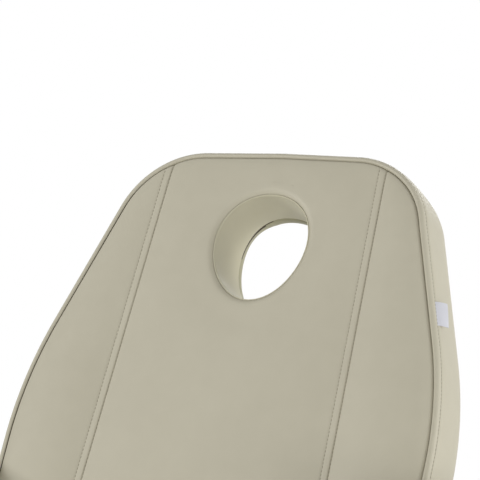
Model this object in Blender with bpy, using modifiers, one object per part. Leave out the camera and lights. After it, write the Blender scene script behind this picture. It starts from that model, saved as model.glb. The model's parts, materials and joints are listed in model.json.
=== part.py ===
"""Electric beauty treatment chair with a face hole in its backrest.

Three upholstered sections (back, seat, leg rest) on a steel frame. A parallelogram lift raises the seat,
and three linear actuators drive the lift, the back and the leg rest. The chair faces -Y, +X is its left
armrest's side, and the floor is Z = 0. Lengths are in metres, angles in degrees.
"""
import math

import bmesh
import bpy
from mathutils import Matrix, Vector

# Cushions and boards
SEAT_HEIGHT = 0.600        # top of the seat, lift fully down
FOAM = 0.079               # foam and cover, from the board to the crest
BOARD = 0.012              # plywood board under each cushion
BOARD_INSET = 0.010        # board edge inside the cushion's outline
WIDTH = 0.606              # cushion width, between the edge seams
SEAT_PITCH = 0.560         # back hinge axis to leg hinge axis
BACK_LENGTH = 0.720        # back hinge axis to the head edge
LEG_LENGTH = 0.490         # leg hinge axis to the foot edge
END_GAP = 0.010            # hinge axis to the end of each cushion
CREASE_CORNER = 0.085      # plan corner radius beside the back hinge
KNEE_CORNER = 0.050        # plan corner radius at the knee
FOOT_CORNER = 0.090        # plan corner radius at the foot end
CREASE_ROUND = 0.040       # roll of the cushion ends at the back hinge
KNEE_ROUND = 0.028         # roll of the cushion ends at the knee
OUTER_ROUND = 0.008        # roll of the head edge and the foot edge
SIDE_ROUND = 0.008         # roll of the long edges
CROWN = 0.007              # rise of each panel above its seams
CHANNEL = 0.005            # depth of the sewn channels
CHANNEL_REACH = 0.014      # width of a channel's slope
SIDE_BULGE = 0.006         # boxing that stands outside the edge seam
SEAM_LOW = 0.184           # half spacing of the long seams, seat end
SEAM_HIGH = 0.157          # half spacing of the long seams, head end

# Head end of the backrest and the face hole
HEAD_WIDTH = 0.387         # between the head's sharp corners
HEAD_TAPER = 0.336         # length of the tapered head end
HEAD_CORNER = 0.115        # plan radius of the head corners
HEAD_KNEE = 0.550          # plan radius where the taper begins
HEAD_CROWN = 0.004         # rise of the head edge in plan
HOLE_WIDTH = 0.132
HOLE_LENGTH = 0.150
HOLE_BELOW_TOP = 0.133     # hole centre to the head edge
HOLE_EGG = 0.10            # wider towards the forehead
LINER_WALL = 0.002         # lining tube
LINER_SUNK = 0.004         # lining edge below the crest

# Rest pose and travel
BACK_ANGLE = 61.0          # above the horizontal
BACK_TOP_ANGLE = 72.0
LEG_ANGLE = 38.0           # below the horizontal
LEG_LOW_ANGLE = 72.0
LIFT_ANGLE = 12.0          # lift arm above the horizontal
LIFT_TRAVEL = 45.0

# Hinges
HINGE_DEPTH = 0.038        # back hinge axis below the cushion tops
KNEE_DEPTH = 0.020         # leg hinge axis below the boards
HINGE_PLATE = 0.009
HINGE_EYE = 0.016          # eye radius of the back hinge plates
HINGE_NECK = 0.010         # half width of the hinge plates at their foot
HINGE_PIN = 0.007          # pin radius
PIN_CAP = 0.011            # radius of a pin's cap
PIN_CAP_HEIGHT = 0.004
KNEE_EYE = 0.016           # eye radius of the leg hinge

# Frame tubes
RAIL_INSET = 0.026         # seat rail centre inside the cushion's side
RAIL_WIDTH = 0.025
RAIL_HEIGHT = 0.040
CROSS_DEPTH = 0.030        # cross member, along the chair
FRONT_CROSS = 0.080        # seat's front cross member behind the knee axis
REAR_CROSS = 0.150         # seat's rear cross member before the back axis
TUBE = 0.028               # square tube of the back and leg frames
TUBE_INSET = 0.113         # back tube centres inside the cushion's side
TUBE_REACH = 0.480         # back tubes along the back
LOWER_CROSS = 0.024        # back's lower cross member from the axis
UPPER_CROSS = 0.450        # back's upper cross member from the axis
LEG_TUBE_REACH = 0.410     # leg tubes along the leg rest
LEG_CROSS = 0.095          # leg cross member from the axis
EDGE = 0.002               # rounded tube edges

# Parallelogram lift
ARM = 0.380                # pivot to pivot
ARM_Y = -0.480             # lower base pivot
ARM_Z = 0.195
PAIR_Y = -0.048            # upper pivots from the lower ones
PAIR_Z = 0.070
ARM_THICK = 0.018
LOWER_ARM_HALF = 0.024
UPPER_ARM_HALF = 0.020
TORQUE_SHAFT = 0.014       # radius
PIVOT_SHAFT = 0.010        # radius
SHAFT_END = 0.004          # shaft past its outer plate
TOWER_GAP = 0.008          # arm to tower plate
TOWER = 0.012              # tower plate thickness
TOWER_EYE = 0.028
BRACKET_IN = 0.011         # drop bracket's inner face inside the seat rail's centre
BRACKET_GAP = 0.016        # arm to drop bracket
BRACKET = 0.012            # drop bracket thickness
BRACKET_EYE = 0.024
FOOT_SPAN = 0.080          # tower and bracket foot to either side of the pivots
FOOT_EYE = 0.016

# Base
BASE_FRONT = -0.640
BASE_REAR = 0.200
BASE_RAIL_WIDTH = 0.050
BASE_RAIL_HEIGHT = 0.040
BASE_CLEAR = 0.040         # floor to the underside of the rails
BASE_CROSS = 0.040
BASE_END = 0.030           # end cross member centres from the rail ends
FOOT_RADIUS = 0.026
FOOT_HEIGHT = 0.014
FOOT_TAPER = 0.8           # top of the pad, share of its foot
FOOT_STEM = 0.006
FOOT_NUT = 0.011
FOOT_NUT_HEIGHT = 0.010
FOOT_ENTRY = 0.022         # stem inside the rail
FOOT_FROM_END = 0.070
BOX_WIDTH = 0.180          # control box
BOX_DEPTH = 0.090
BOX_HEIGHT = 0.052
BOX_X = -0.120
BOX_EDGE = 0.006
INLET_WIDTH = 0.048
INLET_HEIGHT = 0.028
INLET_FLANGE = 0.004
INLET_RIM = 0.007
INLET_RECESS = 0.003

# Actuators
BACK_CRANK = 0.150
LEG_CRANK = 0.100
LIFT_CRANK = 0.110
BACK_REACH = 0.440         # back actuator's bolt before the back hinge axis
LEG_REACH = 0.340          # leg actuator's bolt behind the knee axis
LIFT_REACH = 0.380         # lift actuator's bolt behind the torque shaft
ACTUATOR_X = 0.080         # back and leg actuators from the middle
GEAR_WIDTH = 0.044
GEAR_HEIGHT = 0.052
GEAR_BACK = 0.020          # gear housing behind its bolt
GEAR_FRONT = 0.070
MOTOR = 0.023              # radius
MOTOR_START = 0.030
MOTOR_END = 0.150
MOTOR_SINK = 0.002         # motor let into the gear housing
ACT_TUBE = 0.017           # radius
COLLAR = 0.020
COLLAR_LENGTH = 0.018
ROD = 0.010                # radius
ROD_SEAT = 0.022           # rod's rest past the gear housing's front
YOKE = 0.010               # yoke thickness
YOKE_WALL = 0.008
YOKE_PLAY = 0.0035         # yoke slot past the pin, along the rod
YOKE_GAP = 0.024           # collar to yoke, rod fully in
CRANK_PIN = 0.006
CRANK_PLATE = 0.006
CRANK_GAP = 0.002          # rod to crank plate
CRANK_EYE = 0.014
CRANK_ROOT = 0.018
CHEEK = 0.006              # bracket cheek beside the gear housing
CHEEK_EYE = 0.015
BOLT = 0.005
BOLT_HEAD = 0.009
BOLT_HEAD_HEIGHT = 0.005

# Armrests
REST_HEIGHT = 0.219        # top of the pad above the seat
REST_GAP = 0.015           # pad outside the cushion's side
REST_WIDTH = 0.080
REST_LENGTH = 0.340
REST_FOAM = 0.050
REST_CORNER = 0.034
REST_ROUND = 0.014
REST_CROWN = 0.004
REST_BULGE = 0.002         # side that stands outside the pad's edge seam
REST_PIVOT_Y = 0.090       # behind the back hinge axis
REST_TAIL = 0.030          # pad behind its pivot
REST_PLATE = 0.005
REST_PLATE_INSET = 0.012   # plate inside the pad's outline
REST_EAR = 0.005
REST_EYE = 0.016
REST_BOSS = 0.018
REST_BOSS_WIDTH = 0.030
REST_BOLT = 0.006
REST_LIFT = 0.004          # plate above the boss
POST = 0.0125              # radius
POST_FOOT = -0.115         # post's foot before the back hinge axis
POST_BEND = 0.040

# Clearances
TOUCH = 0.0003             # faces that seat on each other
RUN = 0.0003               # shafts in their bores
FUSE = 0.003               # overlap of shapes that are one piece
PLAY = 0.002               # plates that pass each other
ROUND = 16                 # sides of a round piece
BEND_STEPS = 7             # rings in a post's bend

HALF = WIDTH / 2
BACK_Z = SEAT_HEIGHT - HINGE_DEPTH
BOARD_Z = SEAT_HEIGHT - FOAM - TOUCH - BOARD
KNEE_Y = -SEAT_PITCH
KNEE_Z = BOARD_Z - KNEE_DEPTH
RAIL_X = HALF - RAIL_INSET
RAIL_Z = BOARD_Z - TOUCH - RAIL_HEIGHT / 2
BASE_Z = BASE_CLEAR + BASE_RAIL_HEIGHT / 2
BRACKET_X = RAIL_X - BRACKET_IN
ARM_X = BRACKET_X - BRACKET_GAP - ARM_THICK
TOWER_X = ARM_X + ARM_THICK + TOWER_GAP
BASE_X = TOWER_X + TOWER / 2
TOP_Y = ARM_Y + ARM * math.cos(math.radians(LIFT_ANGLE))
TOP_Z = ARM_Z + ARM * math.sin(math.radians(LIFT_ANGLE))
TUBE_SPREAD = HALF - TUBE_INSET
FRAME_TOP = HINGE_DEPTH - FOAM - TOUCH - BOARD - TOUCH    # back frame under the back board

for old in list(bpy.data.objects):
    bpy.data.objects.remove(old, do_unlink=True)

PARTS = bpy.data.collections.new("beauty_treatment_chair")
CUTTERS = bpy.data.collections.new("cutters")
bpy.context.scene.collection.children.link(PARTS)
bpy.context.scene.collection.children.link(CUTTERS)


def material(name, colour, roughness, metallic=0.0):
    made = bpy.data.materials.new(name)
    made.use_nodes = True
    shader = made.node_tree.nodes["Principled BSDF"]
    shader.inputs["Base Color"].default_value = (*colour, 1.0)
    shader.inputs["Roughness"].default_value = roughness
    shader.inputs["Metallic"].default_value = metallic
    return made


LEATHER = material("taupe_leather", (0.47, 0.43, 0.33), 0.5)
LINING = material("lining_leather", (0.40, 0.37, 0.27), 0.55)
PLYWOOD = material("plywood", (0.16, 0.10, 0.06), 0.7)
FRAME = material("white_paint", (0.75, 0.75, 0.74), 0.35)
STEEL = material("steel", (0.55, 0.55, 0.56), 0.28, 1.0)
CASE = material("grey_case", (0.16, 0.16, 0.17), 0.5)
RUBBER = material("black_rubber", (0.025, 0.025, 0.027), 0.8)


def pivot(name, parent, y, z, angle=0.0, x=0.0):
    empty = bpy.data.objects.new(name, None)
    PARTS.objects.link(empty)
    empty.parent = parent
    empty.location = (x, y, z)
    empty.rotation_euler = (math.radians(angle), 0.0, 0.0)
    return empty


def add(name, mesh, look, parent):
    mesh.materials.clear()
    mesh.materials.append(look)
    made = bpy.data.objects.new(name, mesh)
    PARTS.objects.link(made)
    made.parent = parent
    return made


def finish_mesh(shape, name, smooth=False):
    mesh = bpy.data.meshes.new(name)
    shape.to_mesh(mesh)
    shape.free()
    if smooth:
        mesh.shade_smooth()
        mesh.set_sharp_from_angle(angle=math.radians(40.0))
    return mesh


def block(name, low, high, look, parent, edge=0.0):
    shape = bmesh.new()
    bmesh.ops.create_cube(shape, size=1.0)
    size = Vector(high) - Vector(low)
    middle = (Vector(high) + Vector(low)) / 2
    shape.transform(Matrix.Translation(middle) @ Matrix.Diagonal((*size, 1.0)))
    made = add(name, finish_mesh(shape, name), look, parent)
    if edge:
        bevel = made.modifiers.new("rounded_edges", "BEVEL")
        bevel.width = edge
        bevel.segments = 1
    return made


def cylinder(name, axis, start, end, radius, look, parent, sides=ROUND, radius_end=None):
    """A round piece from start to end along X, Y or Z."""
    shape = bmesh.new()
    start, end = Vector(start), Vector(end)
    top = radius if radius_end is None else radius_end
    bmesh.ops.create_cone(shape, cap_ends=True, segments=sides, radius1=radius, radius2=top,
                          depth=(end - start).length)
    turn = {"X": Matrix.Rotation(math.pi / 2, 4, "Y"), "Y": Matrix.Rotation(-math.pi / 2, 4, "X"),
            "Z": Matrix.Identity(4)}[axis]
    shape.transform(Matrix.Translation((start + end) / 2) @ turn)
    return add(name, finish_mesh(shape, name, True), look, parent)


def as_mesh(guide, name):
    """The mesh of a curve object, with its caps welded on; the curve is removed."""
    graph = bpy.context.evaluated_depsgraph_get()
    mesh = bpy.data.meshes.new_from_object(guide.evaluated_get(graph))
    mesh.name = name
    mesh.transform(guide.matrix_basis)
    shape = bmesh.new()
    shape.from_mesh(mesh)
    bmesh.ops.remove_doubles(shape, verts=shape.verts, dist=0.00001)
    bmesh.ops.recalc_face_normals(shape, faces=shape.faces)
    shape.to_mesh(mesh)
    shape.free()
    bpy.data.objects.remove(guide, do_unlink=True)
    return mesh


def plate(name, outline, x0, x1, look, parent):
    """A flat plate square to X, from its outline in Y and Z."""
    curve = bpy.data.curves.new(name, "CURVE")
    curve.dimensions = "2D"
    curve.fill_mode = "BOTH"
    curve.extrude = abs(x1 - x0) / 2
    spline = curve.splines.new("POLY")
    spline.points.add(len(outline) - 1)
    for point, (y, z) in zip(spline.points, outline):
        point.co = (y, z, 0.0, 1.0)
    spline.use_cyclic_u = True
    guide = bpy.data.objects.new(name + "_outline", curve)
    PARTS.objects.link(guide)
    guide.matrix_basis = Matrix(((0, 0, 1, (x0 + x1) / 2), (1, 0, 0, 0), (0, 1, 0, 0), (0, 0, 0, 1)))
    return add(name, as_mesh(guide, name), look, parent)


def slab(name, outline, z0, z1, look, parent):
    """A flat board square to Z, from its outline in X and Y."""
    curve = bpy.data.curves.new(name, "CURVE")
    curve.dimensions = "2D"
    curve.fill_mode = "BOTH"
    curve.extrude = abs(z1 - z0) / 2
    spline = curve.splines.new("POLY")
    spline.points.add(len(outline) - 1)
    for point, (x, y) in zip(spline.points, outline):
        point.co = (x, y, 0.0, 1.0)
    spline.use_cyclic_u = True
    guide = bpy.data.objects.new(name + "_outline", curve)
    PARTS.objects.link(guide)
    guide.matrix_basis = Matrix.Translation((0.0, 0.0, (z0 + z1) / 2))
    return add(name, as_mesh(guide, name), look, parent)


def hull(circles, sides=ROUND):
    """The band round some circles (y, z, radius), as points in order."""
    cloud = []
    for y, z, radius in circles:
        for step in range(sides):
            turn = 2 * math.pi * (step + 0.5) / sides
            cloud.append((y + radius * math.cos(turn), z + radius * math.sin(turn)))
    cloud = sorted(set(cloud))

    def half(points):
        chain = []
        for p in points:
            while len(chain) > 1 and ((chain[-1][0] - chain[-2][0]) * (p[1] - chain[-2][1])
                                      - (chain[-1][1] - chain[-2][1]) * (p[0] - chain[-2][0])) <= 1e-12:
                chain.pop()
            chain.append(p)
        return chain[:-1]

    return half(cloud) + half(cloud[::-1])


def tool(cutter):
    PARTS.objects.unlink(cutter)
    CUTTERS.objects.link(cutter)
    cutter.hide_render = True
    cutter.display_type = "WIRE"


def combine(target, other, operation):
    step = target.modifiers.new(operation.lower(), "BOOLEAN")
    step.operation = operation
    step.object = other
    tool(other)
    return target


def fuse(target, *others):
    for other in others:
        combine(target, other, "UNION")
    return target


def cut(target, *others):
    for other in others:
        combine(target, other, "DIFFERENCE")
    return target


def bore(target, y, z, radius, x0, x1, parent):
    """A round hole along X whose flats clear the shaft."""
    return cut(target, cylinder(target.name + "_bore", "X", (x0 - FUSE, y, z), (x1 + FUSE, y, z),
                                (radius + RUN) / math.cos(math.pi / ROUND), target.data.materials[0], parent))


def rounded(corners, steps=10):
    """A line through corners (x, y, radius), each turned with its own radius."""
    line = []
    last = len(corners) - 1
    for index, (x, y, radius) in enumerate(corners):
        if index in (0, last) or radius == 0.0:
            line.append(Vector((x, y)))
            continue
        here = Vector((x, y))
        before = (Vector(corners[index - 1][:2]) - here).normalized()
        after = (Vector(corners[index + 1][:2]) - here).normalized()
        opening = before.angle(after)
        reach = radius / math.tan(opening / 2)
        centre = here + (before + after).normalized() * radius / math.sin(opening / 2)
        first = here + before * reach - centre
        sweep = math.pi - opening
        side = 1.0 if before.x * after.y - before.y * after.x < 0 else -1.0
        for step in range(steps + 1):
            turn = side * sweep * step / steps
            line.append(centre + Vector((first.x * math.cos(turn) - first.y * math.sin(turn),
                                         first.x * math.sin(turn) + first.y * math.cos(turn))))
    return line


def along(line, share):
    """The point at a share of a line's length."""
    lengths = [(b - a).length for a, b in zip(line, line[1:])]
    left = max(0.0, min(1.0, share)) * sum(lengths)
    for (a, b), length in zip(zip(line, line[1:]), lengths):
        if left <= length:
            return a.lerp(b, left / length if length else 0.0)
        left -= length
    return line[-1].copy()


def share_where(line, test):
    """The share of a line's length where test first holds."""
    lengths = [(b - a).length for a, b in zip(line, line[1:])]
    total, done = sum(lengths), 0.0
    for (a, b), length in zip(zip(line, line[1:]), lengths):
        steps = max(2, int(length / 0.0005))
        for step in range(steps):
            if test(a.lerp(b, step / steps)):
                return (done + length * step / steps) / total
        done += length
    return 1.0


def piece(line, first, last):
    """The stretch of a line between two shares of its length, as a function of 0 to 1."""
    return lambda t: along(line, first + (last - first) * t)


def coons(low, high, left, right, a, t):
    """A point of the patch inside four edges; a runs across, t along."""
    corner = ((1 - a) * (1 - t) * left(0) + a * (1 - t) * right(0)
              + (1 - a) * t * left(1) + a * t * right(1))
    return (1 - t) * low(a) + t * high(a) + (1 - a) * left(t) + a * right(t) - corner


def roll(distance, radius):
    """Drop of a rolled edge at a distance inside it."""
    if distance >= radius:
        return 0.0
    return radius - math.sqrt(max(0.0, radius ** 2 - (radius - distance) ** 2))


SIDE_SHARES = (0.0, 0.06, 0.16, 0.5, 0.88, 1.0)
MIDDLE_SHARES = (0.0, 0.04, 0.24, 0.5, 0.76, 0.96, 1.0)
PLAIN_SHARES = (0.0, 0.05, 0.16, 0.5, 0.84, 0.95, 1.0)
LONG_ROWS = (0.0, 0.007, 0.022, 0.045, 0.075, 0.16, 0.28, 0.40, 0.52, 0.64, 0.76, 0.88, 0.95, 0.985,
             0.995, 1.0)
PLAIN_ROWS = (0.0, 0.015, 0.05, 0.10, 0.30, 0.50, 0.70, 0.90, 0.95, 0.985, 1.0)


def cushion(name, half_line, seams, foam, ends, crown, bottom, flip, look, parent, bulge, bulge_low=False):
    """A sewn cushion: a grid laid into its outline, crowned panel by panel, with rolled edges.

    half_line runs from the middle of the low end round the +X side to the middle of the high end;
    seams gives the half spacing of the long seams at both ends, or None for a plain cushion.
    """
    mirrored = [Vector((-p.x, p.y)) for p in half_line]
    low_y, high_y = half_line[0].y, half_line[-1].y

    def seam_at(y):
        return seams[0] + (seams[1] - seams[0]) * (y - low_y) / (high_y - low_y)

    low_corner = share_where(half_line, lambda p: p.y > low_y + ends[2] * 0.3)
    high_corner = share_where(half_line, lambda p: p.y > high_y - ends[3] * 0.42)
    right_edge = piece(half_line, low_corner, high_corner)
    left_edge = piece(mirrored, low_corner, high_corner)
    if seams:
        low_seam = share_where(half_line, lambda p: p.x >= seam_at(low_y))
        high_seam = share_where(half_line, lambda p: p.y > high_y - ends[3] and p.x <= seam_at(high_y))
        right_low, right_high = along(half_line, low_seam), along(half_line, high_seam)
        right_seam = lambda t: right_low.lerp(right_high, t)
        left_seam = lambda t: Vector((-right_seam(t).x, right_seam(t).y))
        flip_x = lambda f: (lambda t: Vector((-f(t).x, f(t).y)))
        patches = (
            (flip_x(piece(half_line, low_corner, low_seam)), flip_x(piece(half_line, high_corner, high_seam)),
             left_edge, left_seam, SIDE_SHARES),
            (lambda a: left_seam(0).lerp(right_seam(0), a),
             lambda a: along(mirrored, high_seam + (1 - high_seam) * 2 * a) if a < 0.5
             else along(half_line, 1 - (1 - high_seam) * (2 * a - 1)),
             left_seam, right_seam, MIDDLE_SHARES),
            (piece(half_line, low_seam, low_corner), piece(half_line, high_seam, high_corner),
             right_seam, right_edge, tuple(1 - s for s in SIDE_SHARES[::-1])))
    else:
        patches = ((lambda a: along(mirrored, low_corner * (1 - 2 * a)) if a < 0.5
                    else along(half_line, low_corner * (2 * a - 1)),
                    lambda a: along(mirrored, high_corner + (1 - high_corner) * 2 * a) if a < 0.5
                    else along(half_line, 1 - (1 - high_corner) * (2 * a - 1)),
                    left_edge, right_edge, PLAIN_SHARES),)
    columns = []
    for index, patch in enumerate(patches):
        for share in patch[4][(1 if index else 0):]:
            columns.append((patch, share))

    def height(patch, a, t, point):
        """Top of the cushion below its crest."""
        plain = crown * (2 * a - 1) ** 2
        drop = max(roll((1 - t) * (high_y - low_y), ends[1]), roll(point.y - low_y, ends[0]))
        sewn = 0.0
        if seams:
            sewn = CHANNEL * max(0.0, 1 - abs(abs(point.x) - seam_at(point.y)) / CHANNEL_REACH)
            outer = 0.0
            if patch is not patches[1]:
                outer = (1 - a) if patch is patches[0] else a
        else:
            outer = abs(2 * a - 1)
        edge = SIDE_ROUND * max(0.0, (outer - 0.9) / 0.1)
        return foam - plain - max(drop, sewn, edge)

    shape = bmesh.new()
    row_shares = LONG_ROWS if seams else PLAIN_ROWS
    across, rows = len(columns) - 1, len(row_shares) - 1
    bmesh.ops.create_grid(shape, x_segments=across, y_segments=rows, size=1.0)
    for vert in shape.verts:
        patch, a = columns[round((vert.co.x + 1) / 2 * across)]
        t = row_shares[round((vert.co.y + 1) / 2 * rows)]
        spot = coons(patch[0], patch[1], patch[2], patch[3], a, t)
        vert.co = Vector((spot.x, spot.y, height(patch, a, t, spot)))
    rim = [edge for edge in shape.edges if edge.is_boundary]
    middle = Vector((0.0, (low_y + high_y) / 2))
    for share, swell in ((0.88, 1.0), (0.5, 0.85), (0.0, 0.0)):
        tops = {vert.index: vert.co.copy() for vert in shape.verts}
        grown = bmesh.ops.extrude_edge_only(shape, edges=rim)["geom"]
        shape.verts.index_update()
        fresh = [item for item in grown if isinstance(item, bmesh.types.BMVert)]
        rim = [item for item in grown if isinstance(item, bmesh.types.BMEdge)
               and all(v in fresh for v in item.verts)]
        if share == 0.88:
            ring = {}
            for vert in fresh:
                mates = [e.other_vert(vert).co for e in vert.link_edges if e in rim]
                way = (mates[1] - mates[0]).to_2d()
                out = Vector((way.y, -way.x)).normalized()
                if out.dot(vert.co.to_2d() - middle) < 0:
                    out = -out
                push = out.x ** 2 if (out.y < 0 and not bulge_low) else 1.0
                ring[tuple(vert.co)] = (vert.co.copy(), out * bulge * push)
            start = {vert: ring[tuple(vert.co)] for vert in fresh}
        else:
            start = {vert: start_of[tuple(round(c, 6) for c in vert.co)] for vert in fresh}
        start_of = {}
        for vert in fresh:
            top, push = start[vert]
            vert.co = Vector((top.x + push.x * swell, top.y + push.y * swell, top.z * share))
            start_of[tuple(round(c, 6) for c in vert.co)] = (top, push)
    bmesh.ops.contextual_create(shape, geom=rim)
    shape.transform(Matrix.Translation((0.0, 0.0, bottom)) @ Matrix.Diagonal((1.0, flip, 1.0, 1.0)))
    shape.normal_update()
    bmesh.ops.recalc_face_normals(shape, faces=shape.faces)
    return add(name, finish_mesh(shape, name, True), look, parent)


def whole(half_line, flip=1.0):
    """A closed outline from its +X half."""
    line = half_line + [Vector((-p.x, p.y)) for p in half_line[::-1]]
    kept = [p for i, p in enumerate(line) if (p - line[i - 1]).length > 0.0001]
    return [(p.x, p.y * flip) for p in kept]


def egg(width, length, y, grow=0.0, sides=36):
    """The face hole's outline about its centre."""
    points = []
    for step in range(sides):
        turn = 2 * math.pi * step / sides
        wide = (width / 2 + grow) * math.cos(turn) * (1 + HOLE_EGG * math.sin(turn))
        points.append((wide, y + (length / 2 + grow) * math.sin(turn)))
    return points


def back_half(inset=0.0):
    return rounded(((0.0, END_GAP + inset, 0.0), (HALF - inset, END_GAP + inset, CREASE_CORNER),
                    (HALF - inset, BACK_LENGTH - HEAD_TAPER, HEAD_KNEE),
                    (HEAD_WIDTH / 2 - inset, BACK_LENGTH - HEAD_CROWN - inset, HEAD_CORNER),
                    (0.0, BACK_LENGTH - inset, 0.0)))


def seat_half(inset=0.0):
    return rounded(((0.0, END_GAP + inset, 0.0), (HALF - inset, END_GAP + inset, CREASE_CORNER),
                    (HALF - inset, SEAT_PITCH - END_GAP - inset, KNEE_CORNER),
                    (0.0, SEAT_PITCH - END_GAP - inset, 0.0)))


def leg_half(inset=0.0):
    return rounded(((0.0, END_GAP + inset, 0.0), (HALF - inset, END_GAP + inset, KNEE_CORNER),
                    (HALF - inset, LEG_LENGTH - inset, FOOT_CORNER), (0.0, LEG_LENGTH - inset, 0.0)))


ROOT = pivot("chair", None, 0.0, 0.0)
LOWER = pivot("lower_arm_axis", ROOT, ARM_Y, ARM_Z, LIFT_ANGLE)
UPPER = pivot("upper_arm_axis", ROOT, ARM_Y + PAIR_Y, ARM_Z + PAIR_Z, LIFT_ANGLE)
SEAT_AXIS = pivot("seat_axis", ROOT, TOP_Y, TOP_Z)
SEAT = pivot("seat_datum", SEAT_AXIS, -TOP_Y, -TOP_Z)
BACK = pivot("back_axis", SEAT, 0.0, BACK_Z, BACK_ANGLE)
LEG = pivot("leg_axis", SEAT, KNEE_Y, KNEE_Z, LEG_ANGLE)


def bolt(name, y, z, x0, x1, radius, head, look, parent, cap=BOLT_HEAD_HEIGHT, both=True, sides=ROUND):
    """A bolt along X with a round or six-sided head outside each face."""
    made = cylinder(name, "X", (x0 - FUSE / 2, y, z), (x1 + FUSE / 2, y, z), radius, look, parent)
    fuse(made, cylinder(name + "_head", "X", (x1 + TOUCH, y, z), (x1 + TOUCH + cap, y, z), head, look,
                        parent, sides))
    if both:
        fuse(made, cylinder(name + "_nut", "X", (x0 - TOUCH - cap, y, z), (x0 - TOUCH, y, z), head, look,
                            parent, sides))
    return made


def actuator(prefix, fixed, sliding, x, y, z, way, now, shortest, sideways, motor_side):
    """A linear actuator along Y: gear housing, motor and tube, and a rod that ends in a slotted yoke.

    It starts at its bolt (y, z) and points along way; now and shortest are bolt to crank pin.
    """
    at = lambda u: y + way * u
    yoke_half = CRANK_PIN + YOKE_PLAY + YOKE_WALL
    tube_end = shortest - yoke_half - YOKE_GAP
    gear_low, gear_high = sorted((at(-GEAR_BACK), at(GEAR_FRONT)))
    body = block(prefix + "_actuator", (x - GEAR_WIDTH / 2, gear_low, z - GEAR_HEIGHT / 2),
                 (x + GEAR_WIDTH / 2, gear_high, z + GEAR_HEIGHT / 2), CASE, fixed)
    tube = cylinder(prefix + "_tube", "Y", (x, min(at(GEAR_FRONT - FUSE), at(tube_end)), z),
                    (x, max(at(GEAR_FRONT - FUSE), at(tube_end)), z), ACT_TUBE, CASE, fixed)
    collar = cylinder(prefix + "_collar", "Y", (x, min(at(tube_end - COLLAR_LENGTH), at(tube_end + FUSE)), z),
                      (x, max(at(tube_end - COLLAR_LENGTH), at(tube_end + FUSE)), z), COLLAR, CASE, fixed)
    motor_x = x + motor_side * (GEAR_WIDTH / 2 + MOTOR - MOTOR_SINK)
    motor = cylinder(prefix + "_motor", "Y", (motor_x, min(at(MOTOR_START), at(MOTOR_END)), z),
                     (motor_x, max(at(MOTOR_START), at(MOTOR_END)), z), MOTOR, CASE, fixed)
    fuse(body, tube, collar, motor)
    seat = GEAR_FRONT + ROD_SEAT / 2
    bore_low, bore_high = sorted((at(seat), at(tube_end + 2 * FUSE)))
    cut(body, cylinder(prefix + "_rod_bore", "Y", (x, bore_low, z), (x, bore_high, z),
                       (ROD + RUN) / math.cos(math.pi / ROUND), CASE, fixed))
    bore(body, y, z, BOLT, x - GEAR_WIDTH / 2, x + GEAR_WIDTH / 2, fixed)
    inner = now - shortest + GEAR_FRONT + ROD_SEAT
    rod = cylinder(prefix + "_rod", "Y", (x, min(at(inner), at(now - yoke_half + FUSE)), z),
                   (x, max(at(inner), at(now - yoke_half + FUSE)), z), ROD, STEEL, sliding)
    fuse(rod, plate(prefix + "_yoke", hull(((at(now), z - sideways, yoke_half),
                                            (at(now), z + sideways, yoke_half))),
                    x - YOKE / 2, x + YOKE / 2, STEEL, sliding))
    slot = CRANK_PIN + YOKE_PLAY
    cut(rod, plate(prefix + "_slot", hull(((at(now), z - sideways, slot), (at(now), z + sideways, slot))),
                   x - YOKE / 2 - FUSE, x + YOKE / 2 + FUSE, STEEL, sliding))
    out = GEAR_WIDTH / 2 + TOUCH + CHEEK
    bolt(prefix + "_bolt", y, z, x - out, x + out, BOLT, BOLT_HEAD, STEEL, fixed, sides=6)


def cheeks(target, x, y, z, foot_y, foot_z, parent):
    """Two plates that hold an actuator's gear housing on a cross member."""
    for side in (-1, 1):
        near = x + side * (GEAR_WIDTH / 2 + TOUCH)
        far = near + side * CHEEK
        fuse(target, plate(target.name + "_cheek", hull(((y, z, CHEEK_EYE), (foot_y, foot_z, CRANK_ROOT))),
                           min(near, far), max(near, far), FRAME, parent))
    reach = GEAR_WIDTH / 2 + TOUCH + CHEEK
    bore(target, y, z, BOLT, x - reach, x + reach, parent)


def crank(target, x, foot, eye, root, parent):
    """Two plates and a pin that a yoke turns."""
    for side in (-1, 1):
        near = x + side * (ROD + CRANK_GAP)
        far = near + side * CRANK_PLATE
        fuse(target, plate(target.name + "_crank", hull(((*foot, root), (*eye, CRANK_EYE))),
                           min(near, far), max(near, far), FRAME, parent))
    reach = ROD + CRANK_GAP + CRANK_PLATE
    fuse(target, cylinder(target.name + "_pin", "X", (x - reach + PLAY, *eye), (x + reach - PLAY, *eye),
                          CRANK_PIN, STEEL, parent))


def swing(crank_length, half_travel):
    """Mean drop of a crank pin below its axis, and half of its sideways play, over a travel."""
    flat = math.cos(math.radians(half_travel))
    return crank_length * (1 + flat) / 2, crank_length * (1 - flat) / 2


BACK_HALF_TRAVEL = BACK_TOP_ANGLE / 2
LEG_HALF_TRAVEL = LEG_LOW_ANGLE / 2
LIFT_HALF_TRAVEL = LIFT_TRAVEL / 2
back_drop, back_play = swing(BACK_CRANK, BACK_HALF_TRAVEL)
leg_drop, leg_play = swing(LEG_CRANK, LEG_HALF_TRAVEL)
lift_drop, lift_play = swing(LIFT_CRANK, LIFT_HALF_TRAVEL)
BACK_ROD_Z = BACK_Z - back_drop
LEG_ROD_Z = KNEE_Z - leg_drop
LIFT_ROD_Z = ARM_Z - lift_drop

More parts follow.
